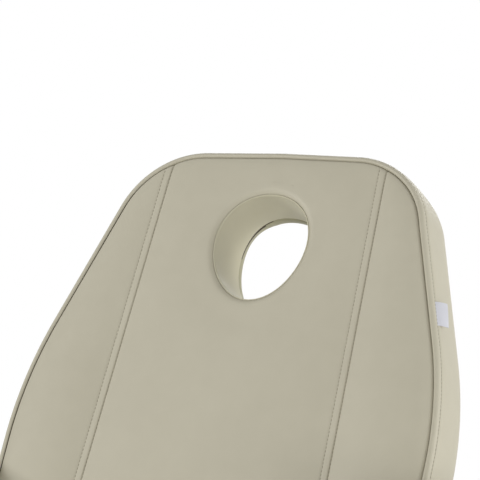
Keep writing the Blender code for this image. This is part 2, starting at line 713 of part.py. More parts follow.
# Base: rails with lift towers, cross members, feet, control box
for side, word in ((1, "left"), (-1, "right")):
    x0, x1 = BASE_X - BASE_RAIL_WIDTH / 2, BASE_X + BASE_RAIL_WIDTH / 2
    rail = block("base_rail_" + word, (min(side * x0, side * x1), BASE_FRONT, BASE_CLEAR),
                 (max(side * x0, side * x1), BASE_REAR, BASE_CLEAR + BASE_RAIL_HEIGHT), FRAME, ROOT, EDGE)
    t0, t1 = side * TOWER_X, side * (TOWER_X + TOWER)
    fuse(rail, plate("tower_" + word, hull((
        (ARM_Y, ARM_Z, TOWER_EYE), (ARM_Y + PAIR_Y, ARM_Z + PAIR_Z, TOWER_EYE),
        (ARM_Y + PAIR_Y - FOOT_SPAN / 2, BASE_Z, FOOT_EYE), (ARM_Y + FOOT_SPAN, BASE_Z, FOOT_EYE))),
        min(t0, t1), max(t0, t1), FRAME, ROOT))
    bore(rail, ARM_Y, ARM_Z, TORQUE_SHAFT, min(t0, t1), max(t0, t1), ROOT)
    bore(rail, ARM_Y + PAIR_Y, ARM_Z + PAIR_Z, PIVOT_SHAFT, min(t0, t1), max(t0, t1), ROOT)
    for place, end in ((BASE_FRONT + FOOT_FROM_END, "front"), (BASE_REAR - FOOT_FROM_END, "rear")):
        x = side * BASE_X
        top = BASE_CLEAR + FOOT_ENTRY
        foot = cylinder("foot_%s_%s" % (end, word), "Z", (x, place, 0.0), (x, place, FOOT_HEIGHT),
                        FOOT_RADIUS, RUBBER, ROOT, radius_end=FOOT_RADIUS * FOOT_TAPER)
        fuse(foot, cylinder(foot.name + "_stem", "Z", (x, place, FOOT_HEIGHT - FUSE), (x, place, top),
                            FOOT_STEM, RUBBER, ROOT),
             cylinder(foot.name + "_nut", "Z", (x, place, BASE_CLEAR - TOUCH - FOOT_NUT_HEIGHT),
                      (x, place, BASE_CLEAR - TOUCH), FOOT_NUT, RUBBER, ROOT, 6))
        cut(rail, cylinder(foot.name + "_hole", "Z", (x, place, BASE_CLEAR - FUSE), (x, place, top + TOUCH),
                           FOOT_STEM + RUN, FRAME, ROOT))

inside = BASE_X - BASE_RAIL_WIDTH / 2 - TOUCH
LIFT_Y = ARM_Y + LIFT_REACH
for name, place in (("base_cross_front", BASE_FRONT + BASE_END),
                    ("base_cross_middle", LIFT_Y + GEAR_BACK + TOUCH + BASE_CROSS / 2),
                    ("base_cross_rear", BASE_REAR - BASE_END)):
    cross = block(name, (-inside, place - BASE_CROSS / 2, BASE_CLEAR),
                  (inside, place + BASE_CROSS / 2, BASE_CLEAR + BASE_RAIL_HEIGHT), FRAME, ROOT, EDGE)
    if name == "base_cross_middle":
        cheeks(cross, 0.0, LIFT_Y, LIFT_ROD_Z, place, BASE_Z, ROOT)

box_y = BASE_REAR - BASE_END
box_z = BASE_CLEAR + BASE_RAIL_HEIGHT + TOUCH
block("control_box", (BOX_X - BOX_WIDTH / 2, box_y - BOX_DEPTH / 2, box_z),
      (BOX_X + BOX_WIDTH / 2, box_y + BOX_DEPTH / 2, box_z + BOX_HEIGHT), CASE, ROOT, BOX_EDGE)
inlet_y = box_y + BOX_DEPTH / 2 + TOUCH
inlet_z = box_z + BOX_HEIGHT / 2
inlet = block("mains_inlet", (BOX_X - INLET_WIDTH / 2, inlet_y, inlet_z - INLET_HEIGHT / 2),
              (BOX_X + INLET_WIDTH / 2, inlet_y + INLET_FLANGE, inlet_z + INLET_HEIGHT / 2), RUBBER, ROOT)
cut(inlet, block("inlet_recess", (BOX_X - INLET_WIDTH / 2 + INLET_RIM, inlet_y + INLET_FLANGE - INLET_RECESS,
                                  inlet_z - INLET_HEIGHT / 2 + INLET_RIM),
                 (BOX_X + INLET_WIDTH / 2 - INLET_RIM, inlet_y + INLET_FLANGE + FUSE,
                  inlet_z + INLET_HEIGHT / 2 - INLET_RIM), RUBBER, ROOT))

# Lift: arms, shafts and crank
for side, word in ((1, "left"), (-1, "right")):
    a0, a1 = sorted((side * ARM_X, side * (ARM_X + ARM_THICK)))
    lower = plate("lower_arm_" + word, hull(((0.0, 0.0, LOWER_ARM_HALF), (ARM, 0.0, LOWER_ARM_HALF))), a0, a1,
                  FRAME, LOWER)
    bore(lower, 0.0, 0.0, TORQUE_SHAFT, a0, a1, LOWER)
    bore(lower, ARM, 0.0, PIVOT_SHAFT, a0, a1, LOWER)
    upper = plate("upper_arm_" + word, hull(((0.0, 0.0, UPPER_ARM_HALF), (ARM, 0.0, UPPER_ARM_HALF))), a0, a1,
                  FRAME, UPPER)
    bore(upper, 0.0, 0.0, PIVOT_SHAFT, a0, a1, UPPER)
    bore(upper, ARM, 0.0, PIVOT_SHAFT, a0, a1, UPPER)

tower_out = TOWER_X + TOWER + SHAFT_END
bracket_out = BRACKET_X + BRACKET + SHAFT_END
torque = cylinder("torque_shaft", "X", (-tower_out, 0.0, 0.0), (tower_out, 0.0, 0.0), TORQUE_SHAFT, STEEL,
                  LOWER)
lift_turn = math.radians(-90.0 - LIFT_HALF_TRAVEL - LIFT_ANGLE)
crank(torque, 0.0, (0.0, 0.0), (LIFT_CRANK * math.cos(lift_turn), LIFT_CRANK * math.sin(lift_turn)),
      CRANK_ROOT, LOWER)
cylinder("upper_base_shaft", "X", (-tower_out, 0.0, 0.0), (tower_out, 0.0, 0.0), PIVOT_SHAFT, STEEL, UPPER)
cylinder("lower_top_shaft", "X", (-bracket_out, ARM, 0.0), (bracket_out, ARM, 0.0), PIVOT_SHAFT, STEEL, LOWER)
cylinder("upper_top_shaft", "X", (-bracket_out, ARM, 0.0), (bracket_out, ARM, 0.0), PIVOT_SHAFT, STEEL, UPPER)

lift_sine = LIFT_CRANK * math.sin(math.radians(LIFT_HALF_TRAVEL))
LIFT_ROD = pivot("lift_rod_axis", ROOT, LIFT_Y, LIFT_ROD_Z)
LIFT_SLIDE = pivot("lift_rod_datum", LIFT_ROD, -LIFT_Y, -LIFT_ROD_Z)
actuator("lift", ROOT, LIFT_SLIDE, 0.0, LIFT_Y, LIFT_ROD_Z, -1, LIFT_REACH + lift_sine,
         LIFT_REACH - lift_sine, lift_play, 1)

# Seat: rails with hinge plates and drop brackets, cross members, board, cushion
hinge_in = RAIL_X + RAIL_WIDTH / 2 - FUSE
hinge_out = RAIL_X + RAIL_WIDTH / 2 + HINGE_PLATE
back_plate_out = hinge_in - PLAY
back_plate_in = back_plate_out - HINGE_PLATE
knee_tube_out = RAIL_X - RAIL_WIDTH / 2 - PLAY
knee_tube_in = knee_tube_out - TUBE
rail_rear = -(HINGE_EYE + END_GAP + PLAY)
rail_front = KNEE_Y + KNEE_EYE + END_GAP
for side, word in ((1, "left"), (-1, "right")):
    x0, x1 = sorted((side * (RAIL_X - RAIL_WIDTH / 2), side * (RAIL_X + RAIL_WIDTH / 2)))
    rail = block("seat_rail_" + word, (x0, rail_front, RAIL_Z - RAIL_HEIGHT / 2),
                 (x1, rail_rear, RAIL_Z + RAIL_HEIGHT / 2), FRAME, SEAT, EDGE)
    h0, h1 = sorted((side * hinge_in, side * hinge_out))
    fuse(rail, plate("seat_hinge_" + word, hull(((0.0, BACK_Z, HINGE_EYE),
                                                (rail_rear - HINGE_NECK, RAIL_Z, HINGE_NECK))), h0, h1, FRAME,
                     SEAT))
    bore(rail, 0.0, BACK_Z, HINGE_PIN, h0, h1, SEAT)
    k0, k1 = sorted((side * (RAIL_X - RAIL_WIDTH / 2 + EDGE), side * (RAIL_X + RAIL_WIDTH / 2 - EDGE)))
    fuse(rail, plate("knee_lug_" + word, hull(((KNEE_Y, KNEE_Z, KNEE_EYE),
                                              (rail_front + 2 * KNEE_EYE, RAIL_Z, KNEE_EYE))), k0, k1, FRAME,
                     SEAT))
    bore(rail, KNEE_Y, KNEE_Z, HINGE_PIN, k0, k1, SEAT)
    b0, b1 = sorted((side * BRACKET_X, side * (BRACKET_X + BRACKET)))
    fuse(rail, plate("drop_bracket_" + word, hull((
        (TOP_Y, TOP_Z, BRACKET_EYE), (TOP_Y + PAIR_Y, TOP_Z + PAIR_Z, BRACKET_EYE),
        (TOP_Y + PAIR_Y - FOOT_SPAN, RAIL_Z, FOOT_EYE), (TOP_Y + FOOT_SPAN / 2, RAIL_Z, FOOT_EYE))),
        b0, b1, FRAME, SEAT))
    bore(rail, TOP_Y, TOP_Z, PIVOT_SHAFT, b0, b1, SEAT)
    bore(rail, TOP_Y + PAIR_Y, TOP_Z + PAIR_Z, PIVOT_SHAFT, b0, b1, SEAT)

inside = RAIL_X - RAIL_WIDTH / 2 - TOUCH
front_y, rear_y = KNEE_Y + FRONT_CROSS, -REAR_CROSS
for name, place, x, bolt_y, rod_z in (
        ("seat_cross_front", front_y, ACTUATOR_X, -BACK_REACH, BACK_ROD_Z),
        ("seat_cross_rear", rear_y, -ACTUATOR_X, KNEE_Y + LEG_REACH, LEG_ROD_Z)):
    cross = block(name, (-inside, place - CROSS_DEPTH / 2, RAIL_Z - RAIL_HEIGHT / 2),
                  (inside, place + CROSS_DEPTH / 2, RAIL_Z + RAIL_HEIGHT / 2), FRAME, SEAT, EDGE)
    cheeks(cross, x, bolt_y, rod_z, place, RAIL_Z, SEAT)

slab("seat_board", whole(seat_half(BOARD_INSET), -1.0), BOARD_Z, BOARD_Z + BOARD, PLYWOOD, SEAT)
cushion("seat_cushion", seat_half(), (SEAM_LOW, SEAM_LOW), FOAM, (CREASE_ROUND, KNEE_ROUND, CREASE_CORNER,
        KNEE_CORNER), CROWN, BOARD_Z + BOARD + TOUCH, -1.0, LEATHER, SEAT, SIDE_BULGE)

# Back: hinge plates, frame, board, cushion with the face hole, lining
frame_low = FRAME_TOP - TUBE
lower = block("back_cross_lower", (-back_plate_out + EDGE, LOWER_CROSS - TUBE / 2, frame_low),
              (back_plate_out - EDGE, LOWER_CROSS + TUBE / 2, FRAME_TOP), FRAME, BACK, EDGE)
for side in (1, -1):
    h0, h1 = sorted((side * back_plate_in, side * back_plate_out))
    fuse(lower, plate("back_hinge", hull(((0.0, 0.0, HINGE_EYE), (LOWER_CROSS, (FRAME_TOP + frame_low) / 2,
                                                                 HINGE_NECK))), h0, h1, FRAME, BACK))
    bore(lower, 0.0, 0.0, HINGE_PIN, h0, h1, BACK)
back_turn = math.radians(-90.0 - BACK_HALF_TRAVEL)
crank(lower, ACTUATOR_X, (LOWER_CROSS, (FRAME_TOP + frame_low) / 2),
      (BACK_CRANK * math.cos(back_turn), BACK_CRANK * math.sin(back_turn)), TUBE / 2 - EDGE, BACK)
for side, word in ((1, "left"), (-1, "right")):
    x0, x1 = sorted((side * (TUBE_SPREAD - TUBE / 2), side * (TUBE_SPREAD + TUBE / 2)))
    block("back_tube_" + word, (x0, LOWER_CROSS + TUBE / 2 + TOUCH, frame_low), (x1, TUBE_REACH, FRAME_TOP),
          FRAME, BACK, EDGE)
    h0, h1 = sorted((side * (back_plate_in - PLAY), side * hinge_out))
    pin = cylinder("back_hinge_pin_" + word, "X", (h0, 0.0, 0.0), (h1, 0.0, 0.0), HINGE_PIN, STEEL, BACK)
    c0, c1 = sorted((side * (hinge_out + TOUCH), side * (hinge_out + TOUCH + PIN_CAP_HEIGHT)))
    pin_end = cylinder(pin.name + "_neck", "X", sorted(((side * (hinge_out - FUSE), 0.0, 0.0),
                                                        (side * (hinge_out + 2 * TOUCH), 0.0, 0.0)))[0],
                       sorted(((side * (hinge_out - FUSE), 0.0, 0.0),
                               (side * (hinge_out + 2 * TOUCH), 0.0, 0.0)))[1], HINGE_PIN, STEEL, BACK)
    fuse(pin, pin_end, cylinder(pin.name + "_cap", "X", (c0, 0.0, 0.0), (c1, 0.0, 0.0), PIN_CAP, STEEL, BACK))
inside = TUBE_SPREAD - TUBE / 2 - TOUCH
block("back_cross_upper", (-inside, UPPER_CROSS - TUBE / 2, frame_low),
      (inside, UPPER_CROSS + TUBE / 2, FRAME_TOP), FRAME, BACK, EDGE)

back_bottom = HINGE_DEPTH - FOAM
hole_y = BACK_LENGTH - HOLE_BELOW_TOP
board = slab("back_board", whole(back_half(BOARD_INSET)), back_bottom - TOUCH - BOARD, back_bottom - TOUCH,
             PLYWOOD, BACK)
cut(board, slab("board_hole", egg(HOLE_WIDTH, HOLE_LENGTH, hole_y), back_bottom - BOARD - 2 * FUSE,
                back_bottom + FUSE, PLYWOOD, BACK))
pad = cushion("back_cushion", back_half(), (SEAM_LOW, SEAM_HIGH), FOAM,
              (CREASE_ROUND, OUTER_ROUND, CREASE_CORNER, HEAD_CORNER), CROWN, back_bottom, 1.0, LEATHER, BACK,
              SIDE_BULGE)
cut(pad, slab("cushion_hole", egg(HOLE_WIDTH, HOLE_LENGTH, hole_y, LINER_WALL + TOUCH), back_bottom - FUSE,
              HINGE_DEPTH + FUSE, LEATHER, BACK))
liner = slab("face_hole_lining", egg(HOLE_WIDTH, HOLE_LENGTH, hole_y, LINER_WALL), back_bottom,
             HINGE_DEPTH - LINER_SUNK, LINING, BACK)
cut(liner, slab("lining_hole", egg(HOLE_WIDTH, HOLE_LENGTH, hole_y), back_bottom - FUSE, HINGE_DEPTH + FUSE,
                LINING, BACK))

back_sine = BACK_CRANK * math.sin(math.radians(BACK_ANGLE - BACK_HALF_TRAVEL))
back_short = BACK_REACH - BACK_CRANK * math.sin(math.radians(BACK_HALF_TRAVEL))
BACK_ROD = pivot("back_rod_axis", SEAT, -BACK_REACH, BACK_ROD_Z)
BACK_SLIDE = pivot("back_rod_datum", BACK_ROD, BACK_REACH, -BACK_ROD_Z)
actuator("back", SEAT, BACK_SLIDE, ACTUATOR_X, -BACK_REACH, BACK_ROD_Z, 1, BACK_REACH + back_sine, back_short,
         back_play, 1)

# Leg rest: tubes, cross member with crank, board, cushion
leg_low = KNEE_DEPTH - TOUCH - TUBE
for side, word in ((1, "left"), (-1, "right")):
    x0, x1 = sorted((side * knee_tube_in, side * knee_tube_out))
    tube = block("leg_tube_" + word, (x0, -LEG_TUBE_REACH, leg_low), (x1, -KNEE_EYE / 2, KNEE_DEPTH - TOUCH),
                 FRAME, LEG, EDGE)
    eye_foot = (-2 * KNEE_EYE, (leg_low + KNEE_DEPTH) / 2, TUBE / 2 - EDGE)
    fuse(tube, plate("leg_eye_" + word, hull(((0.0, 0.0, KNEE_EYE), eye_foot)), x0 + EDGE, x1 - EDGE, FRAME,
                     LEG))
    bore(tube, 0.0, 0.0, HINGE_PIN, x0, x1, LEG)
    h0, h1 = sorted((side * (knee_tube_in - PLAY), side * (RAIL_X + RAIL_WIDTH / 2)))
    pin = cylinder("leg_hinge_pin_" + word, "X", (h0, 0.0, 0.0), (h1, 0.0, 0.0), HINGE_PIN, STEEL, LEG)
    c0, c1 = sorted((side * (RAIL_X + RAIL_WIDTH / 2 - EDGE + TOUCH),
                     side * (RAIL_X + RAIL_WIDTH / 2 + PIN_CAP_HEIGHT)))
    fuse(pin, cylinder(pin.name + "_cap", "X", (c0, 0.0, 0.0), (c1, 0.0, 0.0), PIN_CAP, STEEL, LEG))
inside = knee_tube_in - TOUCH
cross = block("leg_cross", (-inside, -LEG_CROSS - TUBE / 2, leg_low),
              (inside, -LEG_CROSS + TUBE / 2, KNEE_DEPTH - TOUCH), FRAME, LEG, EDGE)
leg_turn = math.radians(-90.0 - LEG_HALF_TRAVEL)
crank(cross, -ACTUATOR_X, (-LEG_CROSS, (leg_low + KNEE_DEPTH) / 2),
      (LEG_CRANK * math.cos(leg_turn), LEG_CRANK * math.sin(leg_turn)), TUBE / 2 - EDGE, LEG)
slab("leg_board", whole(leg_half(BOARD_INSET), -1.0), KNEE_DEPTH, KNEE_DEPTH + BOARD, PLYWOOD, LEG)
cushion("leg_cushion", leg_half(), (SEAM_LOW, SEAM_LOW), FOAM,
        (KNEE_ROUND, OUTER_ROUND, KNEE_CORNER, FOOT_CORNER), CROWN, KNEE_DEPTH + BOARD + TOUCH, -1.0, LEATHER,
        LEG, SIDE_BULGE)
leg_sine = LEG_CRANK * math.sin(math.radians(LEG_HALF_TRAVEL - LEG_ANGLE))
leg_short = LEG_REACH - LEG_CRANK * math.sin(math.radians(LEG_HALF_TRAVEL))
LEG_ROD = pivot("leg_rod_axis", SEAT, KNEE_Y + LEG_REACH, LEG_ROD_Z)
LEG_SLIDE = pivot("leg_rod_datum", LEG_ROD, -(KNEE_Y + LEG_REACH), -LEG_ROD_Z)
actuator("leg", SEAT, LEG_SLIDE, -ACTUATOR_X, KNEE_Y + LEG_REACH, LEG_ROD_Z, -1, LEG_REACH + leg_sine,
         leg_short, leg_play, -1)

# Armrests: bent post, pivot bolt, bracket, pad
REST_X = HALF + REST_GAP + REST_WIDTH / 2
plate_low = REST_BOSS + REST_LIFT
pad_low = plate_low + REST_PLATE + TOUCH
REST_Z = SEAT_HEIGHT + REST_HEIGHT - REST_FOAM - pad_low
for side, word in ((1, "left"), (-1, "right")):
    x = side * REST_X
    REST = pivot("armrest_axis_" + word, SEAT, REST_PIVOT_Y, REST_Z, 0.0, x)
    curve = bpy.data.curves.new("post_" + word, "CURVE")
    curve.dimensions = "3D"
    curve.bevel_depth = POST
    curve.bevel_resolution = 2
    curve.use_fill_caps = True
    lean = Vector((0.0, REST_PIVOT_Y - POST_FOOT, REST_Z - RAIL_Z)).normalized()
    start = Vector((side * (RAIL_X + RAIL_WIDTH / 2 + TOUCH), POST_FOOT, RAIL_Z))
    turn = Vector((x, POST_FOOT, RAIL_Z))
    enter = turn - Vector((side * POST_BEND, 0.0, 0.0))
    leave = turn + lean * POST_BEND
    route = [start]
    for step in range(BEND_STEPS):
        s = step / (BEND_STEPS - 1)
        route.append((1 - s) ** 2 * enter + 2 * s * (1 - s) * turn + s ** 2 * leave)
    route.append(Vector((x, REST_PIVOT_Y, REST_Z)))
    spline = curve.splines.new("POLY")
    spline.points.add(len(route) - 1)
    for point, spot in zip(spline.points, route):
        point.co = (*spot, 1.0)
    guide = bpy.data.objects.new("post_guide", curve)
    PARTS.objects.link(guide)
    post = add("armrest_post_" + word, as_mesh(guide, "armrest_post_" + word), FRAME, SEAT)
    w = REST_BOSS_WIDTH / 2
    fuse(post, cylinder("post_boss_" + word, "X", (x - w, REST_PIVOT_Y, REST_Z),
                        (x + w, REST_PIVOT_Y, REST_Z), REST_BOSS, FRAME, SEAT))
    stop = REST_LIFT + REST_BOSS - TOUCH
    stop_end = (REST_PIVOT_Y - REST_BOSS, REST_Z + stop - REST_PLATE, REST_PLATE)
    fuse(post, plate("post_stop_" + word, hull(((REST_PIVOT_Y, REST_Z, POST), stop_end)), x - w / 2, x + w / 2,
                     FRAME, SEAT))
    bore(post, REST_PIVOT_Y, REST_Z, REST_BOLT, x - w, x + w, SEAT)
    half = REST_WIDTH / 2 - REST_PLATE_INSET
    support = block("armrest_bracket_" + word, (-half, REST_TAIL - REST_LENGTH + REST_PLATE_INSET, plate_low),
                    (half, REST_TAIL - REST_PLATE_INSET, plate_low + REST_PLATE), FRAME, REST)
    for ear in (1, -1):
        e0, e1 = sorted((ear * (w + TOUCH), ear * (w + TOUCH + REST_EAR)))
        ear_line = hull(((0.0, 0.0, REST_EYE), (-REST_EYE, plate_low, REST_PLATE / 2),
                         (REST_EYE, plate_low, REST_PLATE / 2)))
        fuse(support, plate("armrest_ear_" + word, ear_line, e0, e1, FRAME, REST))
    out = w + TOUCH + REST_EAR
    bore(support, 0.0, 0.0, REST_BOLT, -out, out, REST)
    bolt("armrest_bolt_" + word, 0.0, 0.0, -out, out, REST_BOLT, PIN_CAP, STEEL, REST, PIN_CAP_HEIGHT)
    rest_line = rounded(((0.0, -REST_TAIL, 0.0), (REST_WIDTH / 2, -REST_TAIL, REST_CORNER),
                         (REST_WIDTH / 2, REST_LENGTH - REST_TAIL, REST_CORNER),
                         (0.0, REST_LENGTH - REST_TAIL, 0.0)))
    cushion("armrest_pad_" + word, rest_line, None, REST_FOAM,
            (REST_ROUND, REST_ROUND, REST_CORNER, REST_CORNER), REST_CROWN, pad_low, -1.0, LEATHER, REST,
            REST_BULGE, True)

# The origin is on the floor under the middle of the chair
bpy.context.view_layer.update()
graph = bpy.context.evaluated_depsgraph_get()
low, high = Vector((1e9,) * 3), Vector((-1e9,) * 3)
for made in PARTS.objects:
    if made.type == "MESH":
        shown = made.evaluated_get(graph)
        for vert in shown.data.vertices:
            spot = shown.matrix_world @ vert.co
            low = Vector(map(min, low, spot))
            high = Vector(map(max, high, spot))
ROOT.location = -Vector(((low.x + high.x) / 2, (low.y + high.y) / 2, low.z))
bpy.context.view_layer.update()
for made in PARTS.objects:
    if made.type == "EMPTY":
        print(made.name, tuple(round(c, 5) for c in made.matrix_world.translation))
print("parts", sum(made.type == "MESH" for made in PARTS.objects))
print("size", tuple(round(c, 4) for c in high - low))
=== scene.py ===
# %% [markdown]
# # A treatment chair, upholstered and finished
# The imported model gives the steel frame, the joints and plain solids for the cushions. This lesson makes what a
# visitor would see and touch: sewn leather cushions, threads, paint, steel and rubber. Every piece is made in the
# model's own frame, in metres, and rides on one of its bodies.

# %% Load the frame
import json
import math

import bpy
import numpy as np
from mathutils import Matrix, Vector

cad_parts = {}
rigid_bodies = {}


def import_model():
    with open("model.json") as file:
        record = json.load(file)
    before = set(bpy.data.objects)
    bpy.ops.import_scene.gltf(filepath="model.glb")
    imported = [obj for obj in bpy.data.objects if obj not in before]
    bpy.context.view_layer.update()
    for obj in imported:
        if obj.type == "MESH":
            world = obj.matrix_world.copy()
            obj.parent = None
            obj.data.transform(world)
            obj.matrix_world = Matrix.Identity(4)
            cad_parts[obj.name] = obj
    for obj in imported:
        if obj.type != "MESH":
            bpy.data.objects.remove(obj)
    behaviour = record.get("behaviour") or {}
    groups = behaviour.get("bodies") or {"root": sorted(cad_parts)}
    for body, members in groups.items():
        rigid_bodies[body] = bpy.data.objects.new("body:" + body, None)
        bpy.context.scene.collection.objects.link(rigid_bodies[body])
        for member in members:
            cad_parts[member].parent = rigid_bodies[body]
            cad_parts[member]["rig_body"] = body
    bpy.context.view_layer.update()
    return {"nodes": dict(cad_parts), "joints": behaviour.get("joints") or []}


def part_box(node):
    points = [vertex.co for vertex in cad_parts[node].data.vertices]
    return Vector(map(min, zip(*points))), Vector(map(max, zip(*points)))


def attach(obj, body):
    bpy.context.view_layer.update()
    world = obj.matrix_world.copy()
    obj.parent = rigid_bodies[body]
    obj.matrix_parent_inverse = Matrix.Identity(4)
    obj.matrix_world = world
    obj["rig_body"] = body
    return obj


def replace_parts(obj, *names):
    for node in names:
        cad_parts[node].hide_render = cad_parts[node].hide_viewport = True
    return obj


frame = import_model()
nodes = frame["nodes"]
pivots = {joint["name"]: joint.get("pos_m") for joint in frame["joints"]}

# %% [markdown]
# ## Helpers
# Some small steps recur all through the lesson: edit mode on one piece, a mesh from points and faces, a shader node
# that is made and fed in one line. Noise rarely leaves the middle of its range, so a remap starts from that middle
# unless it is told otherwise.

# %% Helpers
NOISE_LOW, NOISE_HIGH = 0.3, 0.7
COLOUR_A, COLOUR_B, COLOUR_OUT = 6, 7, 2       # sockets of the mix node that carry colours


def select_only(*pieces):
    """Selects some pieces and nothing else; the first is the active one."""
    bpy.ops.object.select_all(action="DESELECT")
    bpy.context.view_layer.objects.active = pieces[0]
    for piece in pieces:
        piece.select_set(True)


class Editing:
    """Edit mode on one piece, as a with block: all of the piece is selected, or its own choice is kept."""

    def __init__(self, piece, everything=True):
        self.piece, self.everything = piece, everything

    def __enter__(self):
        select_only(self.piece)
        bpy.ops.object.mode_set(mode="EDIT")
        if self.everything:
            bpy.ops.mesh.select_all(action="SELECT")

    def __exit__(self, *_):
        bpy.ops.object.mode_set(mode="OBJECT")


def put(name, data):
    """A new object in the scene."""
    made = bpy.data.objects.new(name, data)
    bpy.context.scene.collection.objects.link(made)
    return made


def make_object(name, points, faces, *looks):
    mesh = bpy.data.meshes.new(name)
    mesh.from_pydata([tuple(p) for p in points], [], faces)
    mesh.update()
    for look in looks:
        mesh.materials.append(look)
    return put(name, mesh)


def bare_copy(piece):
    """A copy of a piece with a mesh of its own, without its notes."""
    made = piece.copy()
    made.data = piece.data.copy()
    for key in list(made.keys()):
        del made[key]
    bpy.context.scene.collection.objects.link(made)
    return made


def taken(piece):
    """Points and faces of a piece, sorted, as edit mode may shuffle them; the piece is then removed."""
    points = np.array([v.co for v in piece.data.vertices])
    order = np.lexsort(points.T)
    rank = np.argsort(order).tolist()
    faces = sorted(tuple(rank[v] for v in face.vertices) for face in piece.data.polygons)
    bpy.data.objects.remove(piece)
    return points[order], faces


def pattern(size, bevel=0.0):
    """Points and faces of the newest primitive at a size, to be laid along lines."""
    made = bpy.context.object
    with Editing(made):
        bpy.ops.transform.resize(value=size)
        if bevel:
            bpy.ops.mesh.bevel(offset=bevel, segments=1, affect="EDGES")
    return taken(made)


def spans(node):
    """The low and high corner of a node's box, and its middle."""
    low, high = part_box(node)
    return low, high, (low + high) / 2


def feed(tree, node, inputs):
    """Sets inputs of a shader node, each to a value or to the output of another node."""
    for name, value in inputs.items():
        socket = node.inputs[name]
        if isinstance(value, bpy.types.NodeSocket):
            tree.links.new(value, socket)
        else:
            socket.default_value = (*value, 1.0) if socket.type == "RGBA" else value
    return node


def add(tree, kind, inputs=None, **settings):
    """A new shader node with its settings and inputs."""
    made = tree.nodes.new("ShaderNode" + kind)
    for name, value in settings.items():
        setattr(made, name, value)
    return feed(tree, made, inputs or {})


def noise(tree, vector, scale, detail=3.0, roughness=0.5):
    return add(tree, "TexNoise", {"Vector": vector, "Scale": scale, "Detail": detail,
                                  "Roughness": roughness}).outputs["Fac"]


def remap(tree, value, to_low, to_high, low=NOISE_LOW, high=NOISE_HIGH):
    return add(tree, "MapRange", {"Value": value, "From Min": low, "From Max": high, "To Min": to_low,
                                  "To Max": to_high}).outputs["Result"]


def sums(tree, first, second, operation="ADD"):
    return add(tree, "Math", {0: first, 1: second}, operation=operation).outputs[0]


def tint(tree, factor, first, second):
    """A colour between two."""
    mix = add(tree, "Mix", {"Factor": factor, COLOUR_A: first, COLOUR_B: second}, data_type="RGBA")
    return mix.outputs[COLOUR_OUT]


def relief(tree, height, depth, strength=0.5):
    """The normals of a fine relief."""
    return add(tree, "Bump", {"Height": height, "Distance": depth, "Strength": strength}).outputs["Normal"]


def new_look(name):
    """A new material, with its node tree, its shader and the place on the object."""
    made = bpy.data.materials.new(name)
    made.use_nodes = True
    tree = made.node_tree
    return made, tree, tree.nodes["Principled BSDF"], add(tree, "TexCoord").outputs["Object"]


print("helpers ready")

# %% [markdown]
# ## Camera
# The photograph was taken with a long lens, from the front left of the chair and a little above the head end. A
# long lens keeps parallel edges nearly parallel, so the camera stands 4.5 m away. It is placed from one point of
# the backrest whose place in the picture is known: the middle of the front face, level with the face hole.

# %% Camera
BACK_ANGLE = math.radians(61.0)
BACK_LENGTH = 0.720
HINGE_DEPTH = 0.038            # back hinge axis below the cushion's crest
PICTURE, SENSOR = 480, 36.0    # picture in pixels, sensor in millimetres
FOCAL = 3432.0                 # focal length in pixels
DISTANCE = 4.5
AZIMUTH, ELEVATION = math.radians(27.25), math.radians(4.43)
AIM_PIXEL = (257.9, 250.3)
AIM_BELOW_HEAD = 0.139

hinge = Vector(pivots["back_recline"])
along_back = Vector((0.0, math.cos(BACK_ANGLE), math.sin(BACK_ANGLE)))
off_back = Vector((0.0, -math.sin(BACK_ANGLE), math.cos(BACK_ANGLE)))
aim = hinge + along_back * (BACK_LENGTH - AIM_BELOW_HEAD) + off_back * HINGE_DEPTH
right = Vector((math.cos(AZIMUTH), math.sin(AZIMUTH), 0.0))
ahead = Vector((-math.sin(AZIMUTH) * math.cos(ELEVATION), math.cos(AZIMUTH) * math.cos(ELEVATION),
                -math.sin(ELEVATION)))
upward = right.cross(ahead)
across = (AIM_PIXEL[0] - PICTURE / 2) / FOCAL * DISTANCE
rise = -(AIM_PIXEL[1] - PICTURE / 2) / FOCAL * DISTANCE
lens = bpy.data.cameras.new("camera")
lens.sensor_width = SENSOR
lens.lens = FOCAL / PICTURE * SENSOR
camera = put("camera", lens)
camera.matrix_world = Matrix((right, upward, -ahead)).transposed().to_4x4()
camera.location = aim - right * across - upward * rise - ahead * DISTANCE
bpy.context.scene.camera = camera
print("camera at", [round(c, 3) for c in camera.location], "lens", round(lens.lens, 1))

# %% [markdown]
# ## Light and floor
# The picture is a studio cut-out on white with very even light: a soft key from the front left, a fill, and a
# bright wall on the right that lights the side of the cushion. The world is white to the eye and to reflections,
# and gives a softer light to the surfaces themselves. The floor is pale near the chair, where it shows the
# shadow, and fades into the white around it.

# %% Light and floor
WORLD_LIGHT = 0.37
LAMPS = {"key": ((-3.4, -2.4, 2.4), (1.4, 1.4), 98.0), "side": ((3.4, 1.5, 1.3), (1.4, 2.0), 62.0),
         "fill": ((2.6, -2.8, 0.8), (1.6, 1.2), 54.0), "front": ((0.9, -2.4, 3.4), (1.6, 1.6), 4.0),
         "behind": ((-0.5, 3.4, 2.4), (2.0, 1.6), 30.0)}        # place, size and power
FLOOR_SIZE, FLOOR_TONE, FADE = 7.0, (0.86, 0.86, 0.86), (1.0, 3.4)

bpy.context.scene.view_settings.view_transform = "Standard"
world = bpy.data.worlds.new("studio")
bpy.context.scene.world = world
world.use_nodes = True
tree = world.node_tree
rays = add(tree, "LightPath").outputs
seen = sums(tree, rays["Is Camera Ray"], rays["Is Glossy Ray"], "MAXIMUM")
seen = sums(tree, seen, rays["Is Transmission Ray"], "MAXIMUM")
strength = add(tree, "Mix", {"Factor": seen, "A": WORLD_LIGHT, "B": 1.0}, data_type="FLOAT")
feed(tree, tree.nodes["Background"], {"Color": (1.0, 1.0, 1.0), "Strength": strength.outputs["Result"]})

